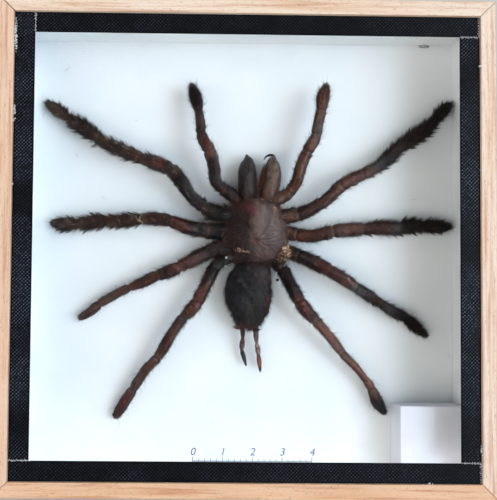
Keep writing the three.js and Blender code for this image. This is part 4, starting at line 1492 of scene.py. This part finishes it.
def make_dust():
    rng = np.random.default_rng(21)
    loose = Bundle()
    strays = [tuple(rng.uniform(*limits) for limits in STRAY_RANGES) for _ in range(STRAY_FIBRES)]
    for x, y, length, turn in FIBRES + strays:
        t = np.linspace(-0.5, 0.5, 7)
        a = math.radians(turn)
        bow = rng.uniform(-0.5, 0.5) * length * (t * t - 0.25)
        across = x + length * t * math.cos(a) - bow * math.sin(a)
        up = y + length * t * math.sin(a) + bow * math.cos(a)
        line = np.column_stack((across, up, np.full(7, BACKING_FRONT + 0.09)))
        thread(loose, line, 0.05 if length > 0.95 else 0.035)
    fibre = speck_finish("dust_fibre", rgb(118, 113, 110), rgb(160, 154, 150), 0.7)
    loose.piece("dust_fibres", fibre, "hair")


# Drops of glue on the wood: x, y and half size. Smears of it: x, y, and how far they run each way.
GLUE_DROPS = [
    (-72.3, 142.2, 0.6), (-72.5, 144.2, 0.4), (-44.8, 151.4, 0.5), (-49.9, 3.9, 0.5), (-1.8, 3.9, 0.55),
    (56.1, 4.3, 0.7), (72.5, 134.5, 0.5), (72.7, 101.9, 0.4), (-72.8, 52, 0.3), (-72.7, 96, 0.3),
]
GLUE_SMEARS = [
    (-72.4, 142.5, 0.3, 5.5), (-68.6, 151.1, 1.9, 0.3), (-44.2, 152.0, 0.7, 1.7), (50.5, 4.1, 1.6, 0.3),
    (56.6, 4.7, 0.8, 0.7), (72.6, 15.0, 0.3, 1.8), (-72.5, 118, 0.3, 2.4), (8, 151.2, 3.0, 0.25),
]
# Lumps on the spider: place with its height above the backing, half sizes, seed, roughness and level.
GLUE_LUMPS = [
    ((-5.7, 74.9, 8.2), (0.32, 0.42, 0.3), 40, 0.4, 2), ((-5.6, 72.3, 5.6), (0.7, 0.35, 0.4), 41, 0.9, 3),
    ((-6.9, 71.3, 5.8), (0.3, 0.5, 0.3), 43, 0.9, 3), ((-32.4, 109.4, 7.6), (0.3, 0.25, 0.2), 42, 0.3, 2),
]


def make_glue():
    """Old glue: a bead along the top wall, drops and smears on the wood, and lumps by the last leg's root."""
    rng = np.random.default_rng(55)
    glue = Bundle()
    on_wood = WOOD_FRONT - 0.2
    lump(glue, (61.8, 148.5, BACKING_FRONT + 0.5), (2.1, 0.5, 0.5), 1, 0.2, 3)
    for seed, (x, y, size) in enumerate(GLUE_DROPS, 10):
        lump(glue, (x, y, on_wood), (size, size * 0.8, 0.16), seed, 0.7, 3)
    for x, y, run, rise in GLUE_SMEARS:
        for _ in range(int(9 * max(run, rise))):
            place = (x + run * rng.uniform(-1, 1), y + rise * rng.uniform(-1, 1), on_wood)
            lump(glue, place, (*rng.uniform(0.12, 0.34, 2), 0.14), int(rng.integers(1000)), 0.7)
    for (x, y, height), size, seed, rough, level in GLUE_LUMPS:
        lump(glue, (x, y, BACKING_FRONT + height), size, seed, rough, level)
    glue.piece("old_glue", speck_finish("glue_drop", rgb(128, 134, 138), rgb(222, 224, 222), 0.16), "glue")


def cut_edges():
    """Start and end of each cut edge of the tape."""
    (left, bottom, _), (right, top, _) = panel_box("tape_top")
    right_low, right_high = panel_box("tape_right")
    left_low, left_high = panel_box("tape_left")
    foot_high = panel_box("tape_bottom")[1]
    return [
        ((left, bottom), (left, top)),
        ((right_low[0], right_high[1]), (right_high[0], right_high[1])),
        ((right_low[0], right_low[1]), (right_high[0], right_low[1])),
        ((left_low[0], left_low[1]), (left_high[0], left_low[1])),
        ((right - 0.3, bottom), (right - 0.3, top)),
        ((foot_high[0] - 0.3, foot_high[1] - 6), (foot_high[0] - 0.3, foot_high[1])),
    ]


def make_frays():
    """Pale threads at the tape's cut ends."""
    rng = np.random.default_rng(33)
    frays = Bundle()
    face = panel_box("tape_top")[1][2]
    t = np.linspace(-1, 1, 5)[:, None]
    for start, end in cut_edges():
        start, end = np.array(start), np.array(end)
        length = np.linalg.norm(end - start)
        along = (end - start) / length
        for step in np.arange(0.25, length, 0.5):
            middle = start + along * (step + rng.normal(0, 0.08))
            reach = rng.uniform(0.15, 0.45)
            across = np.array((-along[1], along[0])) + along * rng.normal(0, 0.5)
            flat = middle + across * reach * t + along * 0.1 * t * t
            line = np.hstack((flat, face + 0.03 + 0.05 * (1 - t * t)))
            thread(frays, line, rng.uniform(0.05, 0.1))
    fray = speck_finish("fray_thread", rgb(170, 172, 178), rgb(226, 228, 232), 0.7)
    frays.piece("tape_frays", fray, "tape")


# Heaps of grains: x, y, height above the backing, spread across and up, count, largest half size, paleness.
HEAPS = [
    (13.9, 77.5, 6.9, 1.9, 2.2, 260, 0.26, 0.0), (13.9, 78.4, 7.2, 1.1, 1.3, 46, 0.3, 0.42),
    (14.8, 76.9, 6.9, 0.9, 0.5, 14, 0.26, 0.4), (10.0, 90.6, 8.4, 0.7, 1.3, 80, 0.24, 0.08),
    (-0.5, 77.2, 8.6, 2.4, 0.9, 50, 0.2, 0.2), (4.4, 94.0, 7.8, 2.8, 0.5, 90, 0.2, 0.3),
    (12.5, 88.5, 6.6, 2.2, 1.2, 40, 0.2, 0.0), (12.6, 74.5, 6.2, 2.2, 1.4, 70, 0.24, 0.0),
    (12.6, 81.5, 6.4, 0.8, 2.2, 60, 0.2, 0.0),
]


def make_crust():
    """Flakes and grains stuck to the spider."""
    rng = np.random.default_rng(44)
    grains = Bundle()
    for x, y, height, wide, tall, count, biggest, pale in HEAPS:
        for _ in range(count):
            across, up = x + wide * rng.normal(0, 0.5), y + tall * rng.normal(0, 0.5)
            place = (across, up, BACKING_FRONT + height + rng.normal(0, 0.3))
            size = rng.uniform(0.1, biggest) * np.array((1.2, 1, 0.7))
            lump(grains, place, size, int(rng.integers(1000)), 0.6, 1, tone=pale + rng.uniform(-0.2, 0.35))
    crust = Finish("crust", {"Roughness": 0.6, "IOR": 1.45})
    speckled = crust.math("ADD", crust.attribute("tone"), crust.grit(1.5, 4))
    crust.colour_by(speckled, [
        (0.3, rgb(66, 40, 32)), (0.6, rgb(134, 92, 68)), (0.9, rgb(196, 156, 126)), (1.0, rgb(230, 206, 184)),
    ])
    crust.bump(crust.grit(4), 0.05)
    grains.piece("dry_crust", crust.material, "glue")


def make_crumb():
    crumb = Bundle()
    lump(crumb, (12.1, 68.2, BACKING_FRONT + 0.5), (0.5, 0.5, 0.42), 7, 0.3, 3)
    crumb.piece("dark_crumb", speck_finish("crumb", INK, UMBER, 0.5), "abdomen")


# Turns of thread round the second left leg: the station, the angles it runs between and its radius.
TURNS = [(6.0, (0.1, 2.9), 0.09), (5.8, (0.4, 2.2), 0.09), (4.7, (0.6, 2.4), 0.06)]


def make_wound_thread():
    wound = Bundle()
    leg = Loft(LIMBS["leg_left_2"])
    for number, (station, turn, radius) in enumerate(TURNS):
        arc = float(np.interp(station, np.arange(len(leg.station_arcs)), leg.station_arcs))
        angle = np.linspace(*turn, 14)
        arcs = arc + 0.5 * np.sin(3 * angle + number)
        thread(wound, leg.place(arcs, angle) + 0.14 * leg.normal(arcs, angle), radius)
    pale = speck_finish("pale_thread", rgb(196, 184, 140), rgb(238, 232, 200), 0.6)
    wound.piece("wound_thread", pale, "glue")


make_camera()
make_light()
make_box()
make_tape()
make_limbs()
make_cephalothorax()
make_abdomen()
make_jaws()
make_fangs()
make_spinnerets()
make_scale()
make_dust()
make_glue()
make_frays()
make_crust()
make_crumb()
make_wound_thread()
make_floor()
bpy.context.scene.view_settings.view_transform = "Standard"
bpy.context.view_layer.update()
